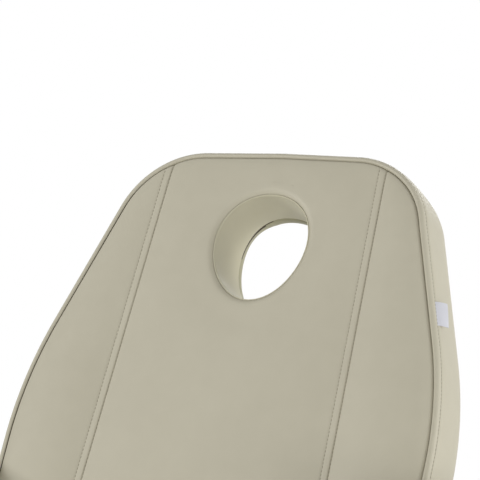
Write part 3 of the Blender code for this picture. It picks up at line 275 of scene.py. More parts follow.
for name, (spot, size, power) in LAMPS.items():
    lamp = bpy.data.lights.new(name, "AREA")
    lamp.shape = "RECTANGLE"
    lamp.size, lamp.size_y = size
    lamp.energy = power
    box = put(name, lamp)
    box.location = spot
    box.rotation_euler = (aim - Vector(spot)).to_track_quat("-Z", "Y").to_euler()

bpy.ops.mesh.primitive_circle_add(vertices=96, radius=FLOOR_SIZE / 2, fill_type="NGON", location=(0, 0, 0))
floor = bpy.context.object
floor.name = "floor"
pale, tree, shader, spot = new_look("studio_floor")
feed(tree, shader, {"Base Color": FLOOR_TONE, "Roughness": 0.9, "Specular IOR Level": 0.1})
far = add(tree, "VectorMath", {0: spot}, operation="LENGTH").outputs["Value"]
fade = add(tree, "MapRange", {"Value": far, "From Min": FADE[0], "From Max": FADE[1]},
           interpolation_type="SMOOTHSTEP")
glow = add(tree, "Emission", {"Strength": 1.0})
blend = add(tree, "MixShader", {"Fac": fade.outputs["Result"], 1: shader.outputs["BSDF"],
                                2: glow.outputs["Emission"]})
feed(tree, tree.nodes["Material Output"], {"Surface": blend.outputs["Shader"]})
floor.data.materials.append(pale)
print("lamps", len(bpy.data.lights), "world light", WORLD_LIGHT)

# %% [markdown]
# ## Finishes
# The cover is a smooth synthetic leather with a very fine, even grain. Seen close, the grain is a net of small
# rounded cells with pores between them. Seen from a step away, only a soft sheen and a slight change of tone are
# left. The grain is a node group, because the cushions and the lining of the face hole share it.

# %% Leather
CELLS, PORES, STRETCH, HIDE = 900.0, 2600.0, 46.0, 7.0       # scales of the grain, from fine to broad
GRAIN_DEPTH = 0.00012
grain_group = bpy.data.node_groups.new("leather_grain", "ShaderNodeTree")
grain_group.interface.new_socket("Vector", in_out="INPUT", socket_type="NodeSocketVector")
for label in ("Tone", "Gloss", "Height"):
    grain_group.interface.new_socket(label, in_out="OUTPUT", socket_type="NodeSocketFloat")
spot = grain_group.nodes.new("NodeGroupInput").outputs["Vector"]
cells = add(grain_group, "TexVoronoi", {"Vector": spot, "Scale": CELLS, "Smoothness": 0.4}, feature="SMOOTH_F1")
pores = noise(grain_group, spot, PORES, 2.0)
stretch = noise(grain_group, spot, STRETCH)
hide = noise(grain_group, spot, HIDE, 3.0, 0.6)
bumps = sums(grain_group, remap(grain_group, cells.outputs["Distance"], 1.0, 0.0, 0.0, 0.8),
             remap(grain_group, pores, 0.0, 0.35))
feed(grain_group, grain_group.nodes.new("NodeGroupOutput"), {
    "Height": sums(grain_group, bumps, remap(grain_group, stretch, 0.0, 0.9)),
    "Tone": sums(grain_group, remap(grain_group, hide, 0.0, 0.7), remap(grain_group, stretch, 0.0, 0.3)),
    "Gloss": remap(grain_group, hide, 0.46, 0.56, 0.25, 0.75)})


def leather(name, dark, light):
    """A smooth synthetic leather between two tones."""
    made, tree, shader, spot = new_look(name)
    grain = add(tree, "Group", node_tree=grain_group)
    feed(tree, grain, {"Vector": spot})
    feed(tree, shader, {"Base Color": tint(tree, grain.outputs["Tone"], dark, light),
                        "Roughness": grain.outputs["Gloss"], "Specular IOR Level": 0.35,
                        "Normal": relief(tree, grain.outputs["Height"], GRAIN_DEPTH, 0.6)})
    return made


COVER = leather("cover_leather", (0.458, 0.428, 0.332), (0.490, 0.460, 0.360))
# The lining is the same leather as the cover, painted lighter to make up for the shade inside the face hole.
LINER_PAINTED_LIGHT = leather("lining_leather_painted_light", (0.535, 0.505, 0.381), (0.572, 0.542, 0.412))
RIM = leather("rim_leather", (0.352, 0.333, 0.225), (0.405, 0.384, 0.264))
# A near-black leather that paints the shadow where the lining ends against the rim strip.
GAP_PAINTED_SHADOW = leather("painted_shadow_leather", (0.058, 0.047, 0.029), (0.076, 0.063, 0.040))
print("leathers", [look.name for look in (COVER, LINER_PAINTED_LIGHT, RIM, GAP_PAINTED_SHADOW)])

# %% [markdown]
# The frame is steel with a satin powder coat. Powder flows a little before it sets, so the surface has a faint
# orange peel, and dust and handling dull it unevenly. Turned steel has fine rings and streaks, and moulded plastic
# an even spark-eroded texture. One helper builds such a finish from a tone pair, a roughness pair and the scale of
# its texture.

# %% Frame finishes
DUST = (0.42, 0.40, 0.37)


def finish_look(name, dark, light, rough, grain, depth, metal=0.0, stretch=(1.0, 1.0, 1.0), dust=0.0):
    """A painted, turned or moulded finish, with uneven tone and a fine relief."""
    made, tree, shader, spot = new_look(name)
    scaled = add(tree, "Mapping", {"Vector": spot, "Scale": stretch})
    fine = noise(tree, scaled.outputs["Vector"], grain)
    broad = noise(tree, spot, 9.0, 4.0, 0.6)
    colour = tint(tree, sums(tree, remap(tree, broad, 0.0, 0.65), remap(tree, fine, 0.0, 0.35)), dark, light)
    if dust:
        faces = add(tree, "SeparateXYZ", {"Vector": add(tree, "NewGeometry").outputs["Normal"]})
        settled = sums(tree, remap(tree, faces.outputs["Z"], 0.0, dust, 0.2, 1.0), remap(tree, broad, 0.4, 1.0),
                       "MULTIPLY")
        colour = tint(tree, settled, colour, DUST)
    feed(tree, shader, {"Base Color": colour, "Metallic": metal, "Normal": relief(tree, fine, depth),
                        "Roughness": remap(tree, sums(tree, broad, fine), *rough, 0.6, 1.4)})
    return made


PAINT = finish_look("white_powder_coat", (0.70, 0.70, 0.69), (0.76, 0.76, 0.75), (0.34, 0.48), 420.0, 0.00008,
                    dust=0.18)
STEEL = finish_look("turned_steel", (0.50, 0.50, 0.51), (0.60, 0.60, 0.61), (0.22, 0.36), 900.0, 0.00002, 1.0,
                    (1.0, 0.06, 1.0))
CASE = finish_look("grey_moulding", (0.145, 0.147, 0.155), (0.175, 0.177, 0.185), (0.48, 0.62), 1300.0, 0.00005,
                   dust=0.10)
RUBBER = finish_look("black_rubber", (0.020, 0.020, 0.022), (0.034, 0.034, 0.036), (0.62, 0.82), 1100.0, 0.00006,
                     dust=0.06)
BOARD = finish_look("stained_plywood", (0.120, 0.075, 0.045), (0.205, 0.135, 0.085), (0.55, 0.72), 160.0, 0.0001,
                    0.0, (0.08, 1.0, 1.0))
CLOTH = finish_look("dust_cloth", (0.022, 0.022, 0.024), (0.038, 0.038, 0.040), (0.80, 0.95), 700.0, 0.0001)
NODE_LOOKS = (("cushion", COVER), ("_pad_", COVER), ("lining", LINER_PAINTED_LIGHT), ("_board", BOARD), ("foot_", RUBBER),
              ("actuator", CASE), ("control_box", CASE), ("mains_inlet", RUBBER), ("bolt", STEEL), ("pin", STEEL),
              ("shaft", STEEL), ("rod", STEEL), ("", PAINT))         # the first word that a node's name holds
for name, node in nodes.items():
    node.data.materials.clear()
    node.data.materials.append(next(look for word, look in NODE_LOOKS if word in name))
print("finishes", sorted({look.name for _, look in NODE_LOOKS}))

# %% [markdown]
# ## The sewn cushions
# Each cushion is a foam block in a sewn cover: a front made of three panels, a strip of boxing round the sides,
# and a row of stitches beside every seam. The seams are valleys and the panels swell between them. A grid is laid
# into the outline of the front so that its lines run along the seams, and it is closed by rings: the front rolls
# into its edge seam, the boxing rolls out of it, drops to the board and turns in below. The grid is dense only
# where a seam needs it.

# %% Outlines of the cushions
WIDTH = 0.606
SEAT_PITCH, LEG_LENGTH, END_GAP = 0.560, 0.490, 0.010
CREASE_CORNER, KNEE_CORNER, FOOT_CORNER = 0.085, 0.050, 0.090
HEAD_WIDTH, HEAD_TAPER, HEAD_CORNER, HEAD_KNEE, HEAD_CROWN = 0.387, 0.336, 0.115, 0.550, 0.004
PAD_WIDTH, PAD_CORNER, PAD_REACH = 0.080, 0.034, (-0.030, 0.310)
SEAM_IN = 0.003                # edge seam inside the outline of the foam


class Outline:
    """Half of a cushion's edge seam, from the middle of its low end round the +X side to its high end."""

    def __init__(self, corners, step=0.002):
        points, normals = [], []
        turns = [(Vector(c[:2]), Vector(c[:2]), None, 0.0) for c in corners]
        for index in range(1, len(corners) - 1):
            here, radius = Vector(corners[index][:2]), corners[index][2]
            before = (Vector(corners[index - 1][:2]) - here).normalized()
            after = (Vector(corners[index + 1][:2]) - here).normalized()
            opening = before.angle(after)
            reach = radius / math.tan(opening / 2)
            centre = here + (before + after).normalized() * radius / math.sin(opening / 2)
            turns[index] = (here + before * reach, here + after * reach, centre, math.pi - opening)
        for (_, leave, _, _), (enter, _, centre, sweep) in zip(turns, turns[1:]):
            count = max(2, int((enter - leave).length / step))
            way = (enter - leave).normalized()
            for k in range(count):
                points.append(leave.lerp(enter, k / count))
                normals.append(Vector((way.y, -way.x)))
            if centre is None:
                points.append(enter)
                normals.append(Vector((0.0, 1.0)))
                continue
            count = max(8, int((enter - centre).length * sweep / step))
            for k in range(count):
                arm = Matrix.Rotation(sweep * k / count, 2) @ (enter - centre)
                points.append(centre + arm)
                normals.append(arm.normalized())
        self.x, self.y, self.nx, self.ny = (np.array([v[k] for v in values]) for values in (points, normals)
                                            for k in (0, 1))
        self.x, self.y = np.maximum(self.x - SEAM_IN * self.nx, 0.0), self.y - SEAM_IN * self.ny
        self.s = np.concatenate(([0.0], np.cumsum(np.hypot(np.diff(self.x), np.diff(self.y)))))
        self.turning = self.corner(0.0)

    def at(self, s, inset):
        """Points of the edge, set in from the seam; a negative s is on the -X side."""
        s = np.asarray(s, float)
        a = np.abs(s)
        x = np.interp(a, self.s, self.x) - inset * np.interp(a, self.s, self.nx)
        y = np.interp(a, self.s, self.y) - inset * np.interp(a, self.s, self.ny)
        return np.stack((np.sign(s) * x, y), -1)

    def crossing(self, inset, offset, seam, high):
        """Where the edge, set in, meets a line that runs offset outside a long seam."""
        x, y = self.x - inset * self.nx, self.y - inset * self.ny
        gap = x - seam(y) - offset
        side = self.s >= self.turning if high else self.s <= self.turning
        gap, s = (-gap[side], self.s[side]) if high else (gap[side], self.s[side])
        return float(np.interp(0.0, gap, s))

    def corner(self, angle):
        """Where the edge's normal reaches an angle, in degrees, from -90 at the low end to 90 at the high."""
        turn = np.degrees(np.arctan2(self.ny, self.nx))
        return float(np.interp(angle, turn, self.s))


half = WIDTH / 2
crease = ((0.0, END_GAP, 0.0), (half, END_GAP, CREASE_CORNER))
back_line = Outline((*crease, (half, BACK_LENGTH - HEAD_TAPER, HEAD_KNEE),
                     (HEAD_WIDTH / 2, BACK_LENGTH - HEAD_CROWN, HEAD_CORNER), (0.0, BACK_LENGTH, 0.0)))
seat_line = Outline((*crease, (half, SEAT_PITCH - END_GAP, KNEE_CORNER), (0.0, SEAT_PITCH - END_GAP, 0.0)))
leg_line = Outline(((0.0, END_GAP, 0.0), (half, END_GAP, KNEE_CORNER), (half, LEG_LENGTH, FOOT_CORNER),
                    (0.0, LEG_LENGTH, 0.0)))
pad_line = Outline(((0.0, PAD_REACH[0], 0.0), (PAD_WIDTH / 2, PAD_REACH[0], PAD_CORNER),
                    (PAD_WIDTH / 2, PAD_REACH[1], PAD_CORNER), (0.0, PAD_REACH[1], 0.0)), 0.001)
print("edge seams", [round(2 * line.s[-1], 3) for line in (back_line, seat_line, leg_line, pad_line)])

# %% [markdown]
# The face hole is egg-shaped, and it widens a little to its rear on one side. The grid of the middle panel is opened
# there: a block of its cells is left out, the edge of the block is drawn onto the egg, and the lines round it are
# relaxed until they lie evenly. Rings then roll the leather over the lip of the hole.

# %% Grid of a sewn front
FOAM = 0.079
HOLE = (0.132, 0.150, BACK_LENGTH - 0.133, 0.10)     # width, length, centre along the back, egg shape
HOLE_BLOCK, RELAXED = 0.42, 900                      # left-out block, as a share of the hole; rounds of relaxing
BAND = 0.016                   # width of the rolled band inside the edge seam
STRIP = np.array((-16.0, -13.0, -11.3, -10.6, -10.0, -9.4, -8.7, -6.4, -3.8, -2.2, -1.2, -0.6, 0.0, 0.6, 1.2,
                  2.2, 4.0, 7.0, 11.0, 16.0)) / 1000.0
BAND_RINGS = (0.0125, 0.0095, 0.007, 0.0048, 0.0034, 0.0024, 0.0016, 0.0010, 0.0006, 0.0003, 0.0)
LIP_RINGS = (0.0145, 0.011, 0.0085, 0.0066, 0.005, 0.0038, 0.0029, 0.0024)
LIP_START = 0.018
DRAWN_OUT = ((0.0044, 2.05, 0.50), (0.0066, 2.33, 0.52))   # lining's end and rear: how far, at which angle, how wide


def egg(turn, grow):
    """Points of the face hole's edge at some angles."""
    width, length, centre, shape = HOLE
    return np.stack(((width / 2 + grow) * np.cos(turn) * (1 + shape * np.sin(turn)),
                     centre + (length / 2 + grow) * np.sin(turn)), -1)


def apart(turn, angle):
    """Signed angle from one direction to others."""
    return (turn - angle + math.pi) % (2 * math.pi) - math.pi


def drawn_out(turn, level=0.0):
    """How far the hole widens to its rear: level is 0 at the end of its lining and 1 at the rear of the board."""
    wall, rear = (far * np.exp(-(apart(turn, angle) / wide) ** 2) for far, angle, wide in DRAWN_OUT)
    return wall + level * np.maximum(rear - wall, 0.0)


def coons(low, high, left, right):
    """A grid of points inside four lines of points."""
    a = np.linspace(0, 1, len(low))[None, :, None]
    t = np.linspace(0, 1, len(left))[:, None, None]
    corners = ((1 - a) * (1 - t) * low[0] + a * (1 - t) * low[-1] + (1 - a) * t * high[0] + a * t * high[-1])
    return (1 - t) * low[None] + t * high[None] + (1 - a) * left[:, None] + a * right[:, None] - corners


def border(low, high, left, right):
    """Four sides of a grid as one closed line."""
    return np.concatenate((low, right[1:], high[::-1][1:], left[::-1][1:-1]))


class Front:
    """The lines of a sewn front: where its columns and rows meet the edge, and the points inside."""

    def __init__(self, line, seam, corners, ends, columns, rows, hole=None, foam=FOAM, crown=0.0):
        self.line, self.seam, self.hole, self.ends = line, seam, hole, ends
        self.foam, self.crown = foam, crown
        self.low_corner, self.high_corner = (line.corner(a) for a in corners)
        (self.side, self.middle), self.rows = columns, rows
        low, high, left, right = self.edge(BAND)
        if seam is None:
            points = coons(low, high, left, right)
        else:
            first, second = self.side, self.side + len(STRIP) - 1
            third, fourth = second + self.middle, second + self.middle + len(STRIP) - 1
            t = np.linspace(0, 1, rows + 1)[:, None, None]
            points = (1 - t) * low[None] + t * high[None]
            points[:, :first + 1] = coons(low[:first + 1], high[:first + 1], left, points[:, first])
            points[:, fourth:] = coons(low[fourth:], high[fourth:], points[:, fourth], right)
            points[:, second:third + 1] = coons(low[second:third + 1], high[second:third + 1], points[:, second],
                                                points[:, third])
            if hole:
                self.open_hole(points, second, third)
        self.points = points

    def edge(self, inset):
        """The edge's points at an inset: low and high ends of the columns, left and right ends of the rows."""
        line, low, high = self.line, [], []
        for ends, is_high, corner in ((low, False, self.low_corner), (high, True, self.high_corner)):
            end = line.s[-1] if is_high else 0.0
            if self.seam is None:
                ends.extend(self.spread(end, corner, self.middle))
                continue
            strip = {o: line.crossing(inset, o, self.seam, is_high) for o in set(STRIP) | set(-STRIP)}
            left = [strip[-o] for o in STRIP]
            ends.extend(-np.linspace(corner, left[0], self.side + 1)[:-1])
            ends.extend(-np.array(left))
            ends.extend(self.spread(end, strip[STRIP[0]], self.middle)[1:-1])
            ends.extend(strip[o] for o in STRIP)
            ends.extend(np.linspace(strip[STRIP[-1]], corner, self.side + 1)[1:])
        along = np.linspace(self.low_corner, self.high_corner, self.rows + 1)
        return [line.at(places, inset) for places in (low, high, -along, along)]

    @staticmethod
    def spread(middle, side, count):
        """Places along an end, from -X to +X; middle is where the end crosses the middle of the cushion."""
        share = np.linspace(-1, 1, count + 1)
        at = middle + (side - middle) * np.abs(share)
        return np.where(share < 0, -at, at)

    def ring(self, inset):
        """The edge's points in one closed line."""
        return border(*self.edge(inset))

    def open_hole(self, points, first, last):
        """Leaves out a block of cells, draws its edge onto the egg and relaxes the lines round it."""
        width, length, centre, _ = self.hole
        spots = points[:, first:last + 1]
        middle = (last - first) // 2
        mid_row = int(np.abs(spots[:, middle, 1] - centre).argmin())
        pitch_y = spots[mid_row + 1, middle, 1] - spots[mid_row, middle, 1]
        pitch_x = spots[mid_row, middle + 1, 0] - spots[mid_row, middle, 0]
        up, out = int(HOLE_BLOCK * length / pitch_y), int(HOLE_BLOCK * width / pitch_x)
        r0, r1, c0, c1 = mid_row - up, mid_row + up, middle - out, middle + out
        self.block = (r0, r1, first + c0, first + c1)
        held = np.zeros(spots.shape[:2], bool)
        held[0], held[-1], held[:, 0], held[:, -1] = True, True, True, True
        r, c = np.mgrid[r0:r1 + 1, c0:c1 + 1]
        turn = np.arctan2((r - mid_row) / up, (c - middle) / out)
        rim = (r == r0) | (r == r1) | (c == c0) | (c == c1)
        block = spots[r0:r1 + 1, c0:c1 + 1]
        block[rim] = egg(turn[rim], LIP_START)
        held[r0:r1 + 1, c0:c1 + 1] = True
        for _ in range(RELAXED):
            mean = (spots[:-2, 1:-1] + spots[2:, 1:-1] + spots[1:-1, :-2] + spots[1:-1, 2:]) / 4
            spots[1:-1, 1:-1] = np.where(held[1:-1, 1:-1, None], spots[1:-1, 1:-1], mean)


print("columns beside a seam", len(STRIP), "rings of the rolled band", len(BAND_RINGS))

# %% [markdown]
# The height of the front above its board follows from where a point lies. Every panel swells away from its seams
# and from the edge; the band between a seam and its row of stitches stays flat; the seam itself is a narrow
# valley, and so is the row of stitches. At the ends beside a hinge the whole front rolls down.

# %% Heights of a sewn front
STITCH_ROW = 0.010             # row of stitches beside a seam, on its -X side
MIDDLE_SWELL, SIDE_SWELL = 0.0030, 0.0160
MIDDLE_REACH, SIDE_REACH, EDGE_REACH = 0.026, 0.060, 0.030
VALLEY, VALLEY_WIDTH = 0.0018, 0.0009
ROW_VALLEY, ROW_WIDTH = 0.0006, 0.0010
EDGE_DROP, EDGE_VALLEY, EDGE_WIDTH = 0.0014, 0.0038, 0.0009
SEAM_PULL, PULL_WIDTH, PULL_REACH = 0.0012, 0.007, 0.009     # edge drawn in where a long seam meets it
LIP_DROP, LIP_ROUND, LIP_DIP, LIP_REACH = 0.0060, 0.010, 0.0016, 0.022
PUCKERS = ((0.213, 0.618, 0.9, 0.016, 0.0045, 0.0007), (0.205, 0.603, 0.7, 0.012, 0.004, 0.0005),
           (0.224, 0.600, 1.1, 0.014, 0.004, 0.0005))   # across, along, turn, half length, half width, height
AT_ONCE = 4000                 # spots measured at once


def swell(share):
    return 1 - np.exp(-np.maximum(share, 0.0))


def rolled(distance, radius):
    """Drop of a rolled end at a distance from it."""
    d = np.clip(radius - distance, 0.0, radius)
    return radius - np.sqrt(np.maximum(radius ** 2 - d ** 2, 0.0))


def edge_gap(spots, line):
    """Distance of each spot from the edge seam."""
    edge_x, edge_y = np.concatenate((line.x, -line.x)), np.concatenate((line.y, line.y))
    flat = spots.reshape(-1, 2)
    gap = np.empty(len(flat))
    for start in range(0, len(flat), AT_ONCE):
        part = flat[start:start + AT_ONCE]
        gap[start:start + AT_ONCE] = np.hypot(part[:, :1] - edge_x, part[:, 1:] - edge_y).min(1)
    return gap.reshape(spots.shape[:-1])


def front_height(spots, front, inset=None, seams=True):
    """Height of a sewn front above its board; the inset from the edge seam is measured where it isn't given."""
    x, y = spots[..., 0], spots[..., 1]
    line = front.line
    if inset is None:
        inset = edge_gap(spots, line)
    height = np.full(x.shape, front.foam)
    lifted = swell(inset / EDGE_REACH)
    if front.seam is None:
        height += front.crown * lifted
    else:
        seam = front.seam(y)
        from_left, from_right = x + seam, x - seam
        middle = np.minimum(from_left, -from_right - STITCH_ROW)
        sides = np.maximum(-from_left - STITCH_ROW, from_right)
        height += np.where(middle > 0, MIDDLE_SWELL * swell(middle / MIDDLE_REACH), 0.0) * lifted
        height += np.where(sides > 0, SIDE_SWELL * swell(sides / SIDE_REACH), 0.0) * lifted
        for near in (from_left, from_right) if seams else ():
            height -= VALLEY * np.exp(-(near / VALLEY_WIDTH) ** 2)
            height -= ROW_VALLEY * np.exp(-((near + STITCH_ROW) / ROW_WIDTH) ** 2)
            height -= SEAM_PULL * np.exp(-(near / PULL_WIDTH) ** 2 - inset / PULL_REACH)
    height -= EDGE_DROP * np.clip(1 - inset / BAND, 0, 1) ** 2.2 + EDGE_VALLEY * np.exp(-inset / EDGE_WIDTH)
    if front.hole:
        width, length, centre, _ = front.hole
        rim = egg(np.arctan2((y - centre) / length, x / width), 0.0)
        away = np.hypot(x, y - centre) - np.hypot(rim[..., 0], rim[..., 1] - centre)
        height -= (LIP_DROP * np.clip(1 - away / LIP_ROUND, 0, 1) ** 2.0
                   + LIP_DIP * np.exp(-np.maximum(away, 0) / LIP_REACH))
        for across, up, angle, long, wide, tall in PUCKERS:
            u = (x - across) * math.cos(angle) + (y - up) * math.sin(angle)
            v = (y - up) * math.cos(angle) - (x - across) * math.sin(angle)
            height += tall * np.exp(-(u / long) ** 2 - (v / wide) ** 2)
    return height - np.maximum(rolled(y - line.y[0], front.ends[0]), rolled(line.y[-1] - y, front.ends[1]))


print("panels swell by", MIDDLE_SWELL, "and", SIDE_SWELL)

# %% [markdown]
# The boxing is one strip of leather round the sides. It leaves the seam in a small roll, which a second row of
# stitches holds down, and then runs to the board with a slight belly. Below, it turns in under the foam. The armrest
# pads are sewn in the same way, from one panel and a narrow boxing.

# %% Covers
BOXING = ((0.0003, -0.0012), (0.0009, -0.0026), (0.0021, -0.0036), (0.0038, -0.0039), (0.0056, -0.0032),
          (0.0071, -0.0018), (0.0082, 0.0001), (0.0087, 0.0019), (0.0087, 0.0033), (0.0084, 0.0041), (0.0077, 0.0045),
          (0.0076, 0.0048), (0.0077, 0.0051), (0.0085, 0.0056), (0.0091, 0.0066), (0.0097, 0.0092))   # out, down
BOXING_LOWER = ((0.12, 0.0102), (0.30, 0.0106), (0.50, 0.0107), (0.70, 0.0105), (0.86, 0.0100), (0.96, 0.0090),
                (1.0, 0.0070))                          # share of the way down, out of the seam
BELLY = BOXING_LOWER[2][1]
TURN_IN = 0.012
BOXING_ROW = 11                 # ring of the boxing's row of stitches
TUNNEL = (0.9, 0.5, 0.0)        # rings of the cover inside the hole, as shares of the lip's height
LOW_SPREAD, HEAD_SPREAD = 0.184, 0.157
CREASE_ROUND, KNEE_ROUND = 0.040, 0.028
LEG_ANGLE, LEG_BOTTOM = math.radians(38.0), 0.0323
PAD_FOAM, PAD_CROWN = 0.050, 0.003
OVER_BOARD = 0.0003
LEATHER_SMOOTH = math.radians(50.0)


def moved(points, matrix):
    turn = np.array(matrix)
    return points @ turn[:3, :3].T + turn[:3, 3]


class Cushion:
    """A sewn front in its place: a frame in the model, which way its length runs, and how high its board lies."""

    def __init__(self, kind, front, matrix, flip, bottom, side="", bulge=1.0, bulge_low=False):
        self.front, self.matrix, self.flip, self.bottom = front, matrix, flip, bottom
        self.bulge, self.bulge_low = bulge, bulge_low
        self.word = kind.split("_")[0]
        self.node, self.name, self.body = kind + side, kind + "_cover" + side, self.word + side
        self.rows = self.word + "_stitches" + side

    def to_world(self, points):
        """Points of the cushion's own frame (across, along, above the board) in the model's frame."""
        points = np.asarray(points, float).reshape(-1, 3) * (1.0, self.flip, 1.0) + (0.0, 0.0, self.bottom)
        return moved(points, self.matrix)

    def normals(self, values):
        turn = self.matrix.to_3x3()
        return np.array([turn @ Vector((v[0], v[1] * self.flip, v[2])) for v in values])


def outward(ring):
    """Unit normals of a closed line of points, in its plane."""
    way = np.roll(ring, -1, 0) - np.roll(ring, 1, 0)
    normal = np.stack((way[:, 1], -way[:, 0]), -1)
    return normal / np.linalg.norm(normal, axis=1)[:, None]


def sew(cushion):
    """A cushion's cover as one closed mesh; keeps the line that the boxing's stitches follow."""
    front, bulge = cushion.front, cushion.bulge
    grid = front.points
    rows, columns = grid.shape[0] - 1, grid.shape[1] - 1
    number = np.arange((rows + 1) * (columns + 1)).reshape(rows + 1, columns + 1)
    points = [np.dstack((grid, front_height(grid, front))).reshape(-1, 3)]
    skip = np.zeros((rows, columns), bool)
    if front.hole:
        r0, r1, c0, c1 = front.block
        skip[r0:r1, c0:c1] = True
    faces = [(number[r, c], number[r, c + 1], number[r + 1, c + 1], number[r + 1, c])
             for r, c in zip(*np.nonzero(~skip))]
    total = number.size

    def around(block):
        return border(block[0], block[-1], block[:, 0], block[:, -1]).tolist()

    def close(loop, spots, height):
        """Adds a ring of points outside a loop of vertices, and the faces between them."""
        nonlocal total
        fresh = list(range(total, total + len(loop)))
        total += len(loop)
        points.append(np.column_stack((spots, height)))
        for k, (a, b) in enumerate(zip(loop, loop[1:] + loop[:1])):
            faces.append((b, a, fresh[k], fresh[(k + 1) % len(fresh)]))
        return fresh

    loop = around(number)
    for inset in BAND_RINGS:
        seam = front.ring(inset)
        loop = close(loop, seam, front_height(seam, front, inset))
    seam_height = front_height(seam, front, 0.0, False)
    normal = outward(seam)
    held_in = np.maximum(normal[:, 0] ** 2, SEAM_IN / BELLY)
    push = np.where((normal[:, 1] < 0) & (not cushion.bulge_low), held_in, 1.0) * bulge
    for index, (out, down) in enumerate(BOXING):
        loop = close(loop, seam + normal * (out * push)[:, None], seam_height - down * (push if down < 0 else bulge))
        if index == BOXING_ROW:
            cushion.boxing = (points[-1], np.column_stack((normal, np.zeros(len(normal)))))
    for share, out in BOXING_LOWER:
        loop = close(loop, seam + normal * (out * push)[:, None],
                     (seam_height - BOXING[-1][1] * bulge) * (1 - share))
    close(loop, front.ring(TURN_IN), np.zeros(len(loop)))
    if front.hole:
        hole = around(number[r0:r1 + 1, c0:c1 + 1])[::-1]
        width, length, centre, shape = front.hole
        flat = points[0][hole]
        sine = (flat[:, 1] - centre) / (length / 2 + LIP_START)
        turn = np.arctan2(sine, flat[:, 0] / ((width / 2 + LIP_START) * (1 + shape * sine)))
        for grow in LIP_RINGS:
            ring = egg(turn, grow)
            height = front_height(ring, front)
            hole = close(hole, ring, height)
        for share in TUNNEL:
            hole = close(hole, egg(turn, LIP_RINGS[-1] + drawn_out(turn) * (1 - share) ** 2), height * share)
    if cushion.flip < 0:
        faces = [face[::-1] for face in faces]
    made = make_object(cushion.name, cushion.to_world(np.concatenate(points)), faces, COVER)
    with Editing(made):
        bpy.ops.mesh.select_mode(type="EDGE")
        bpy.ops.mesh.select_all(action="DESELECT")
        bpy.ops.mesh.select_non_manifold(extend=False, use_wire=False, use_multi_face=False,
                                         use_non_contiguous=False, use_verts=False)
        bpy.ops.mesh.fill(use_beauty=True)
        bpy.ops.mesh.select_all(action="SELECT")
        bpy.ops.mesh.normals_make_consistent(inside=False)
    bpy.ops.object.shade_smooth_by_angle(angle=LEATHER_SMOOTH)
    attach(made, cushion.body)
    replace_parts(made, cushion.node)
    return made


def seam_line(line, low, high):
    """How far a long seam lies from the middle of the cushion, along its length."""
    return lambda y: low + (high - low) * (y - line.y[0]) / (line.y[-1] - line.y[0])


def place_matrix(origin, angle):
    return Matrix.Translation(origin) @ Matrix.Rotation(angle, 4, "X")


back_front = Front(back_line, seam_line(back_line, LOW_SPREAD, HEAD_SPREAD), corners=(-45.0, 34.0),
                   ends=(CREASE_ROUND, 0.0), columns=(20, 44), rows=130, hole=HOLE)
seat_front = Front(seat_line, seam_line(seat_line, LOW_SPREAD, LOW_SPREAD), corners=(-45.0, 45.0),
                   ends=(CREASE_ROUND, KNEE_ROUND), columns=(13, 40), rows=84)
leg_front = Front(leg_line, seam_line(leg_line, LOW_SPREAD, LOW_SPREAD), corners=(-45.0, 45.0),
                  ends=(KNEE_ROUND, 0.0), columns=(13, 40), rows=76)
pad_front = Front(pad_line, None, corners=(-45.0, 45.0), ends=(0.0, 0.0), columns=(0, 14), rows=56, foam=PAD_FOAM,
                  crown=PAD_CROWN)
back = Cushion("back_cushion", back_front, place_matrix(hinge, BACK_ANGLE), 1.0, HINGE_DEPTH - FOAM)
seat = Cushion("seat_cushion", seat_front, Matrix.Translation((0.0, hinge.y, 0.0)), -1.0,
               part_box("seat_board")[1].z + OVER_BOARD)
leg = Cushion("leg_cushion", leg_front, place_matrix(Vector(pivots["leg_raise"]), LEG_ANGLE), -1.0, LEG_BOTTOM)
cushions = [back, seat, leg]
for side in ("_left", "_right"):
    low, high, middle = spans("armrest_pad" + side)
    spot = Matrix.Translation((middle.x, Vector(pivots["armrest" + side + "_fold"]).y, 0.0))
    cushions.append(Cushion("armrest_pad", pad_front, spot, -1.0, low.z, side, bulge=0.5, bulge_low=True))
for cushion in cushions:
    cushion.cover = sew(cushion)
print("covers", {cushion.name: len(cushion.cover.data.polygons) for cushion in cushions})

# %% [markdown]
# ## Foam against the leather
# The heights so far are those of the cut panels. The foam also pushes the leather out between its seams, and that is
# left to a cloth simulation: a copy of each cover is held at its seams, its edges and its boxing, a light pressure
# swells it for a few frames without gravity, and the cover's points take over the move, up to a cap.

# %% Foam against the leather
PRESSURE, FRAMES, MOST_MOVE = 4.0, 10, 0.0022
HELD, FREE = 0.005, 0.024      # leather is held this near to a seam, and free beyond that
CLOTH_SETTINGS = {"quality": 5, "mass": 0.4, "tension_stiffness": 20.0, "compression_stiffness": 20.0,
                  "shear_stiffness": 8.0, "bending_stiffness": 0.6, "vertex_group_mass": "held",
                  "use_pressure": True, "uniform_pressure_force": PRESSURE}


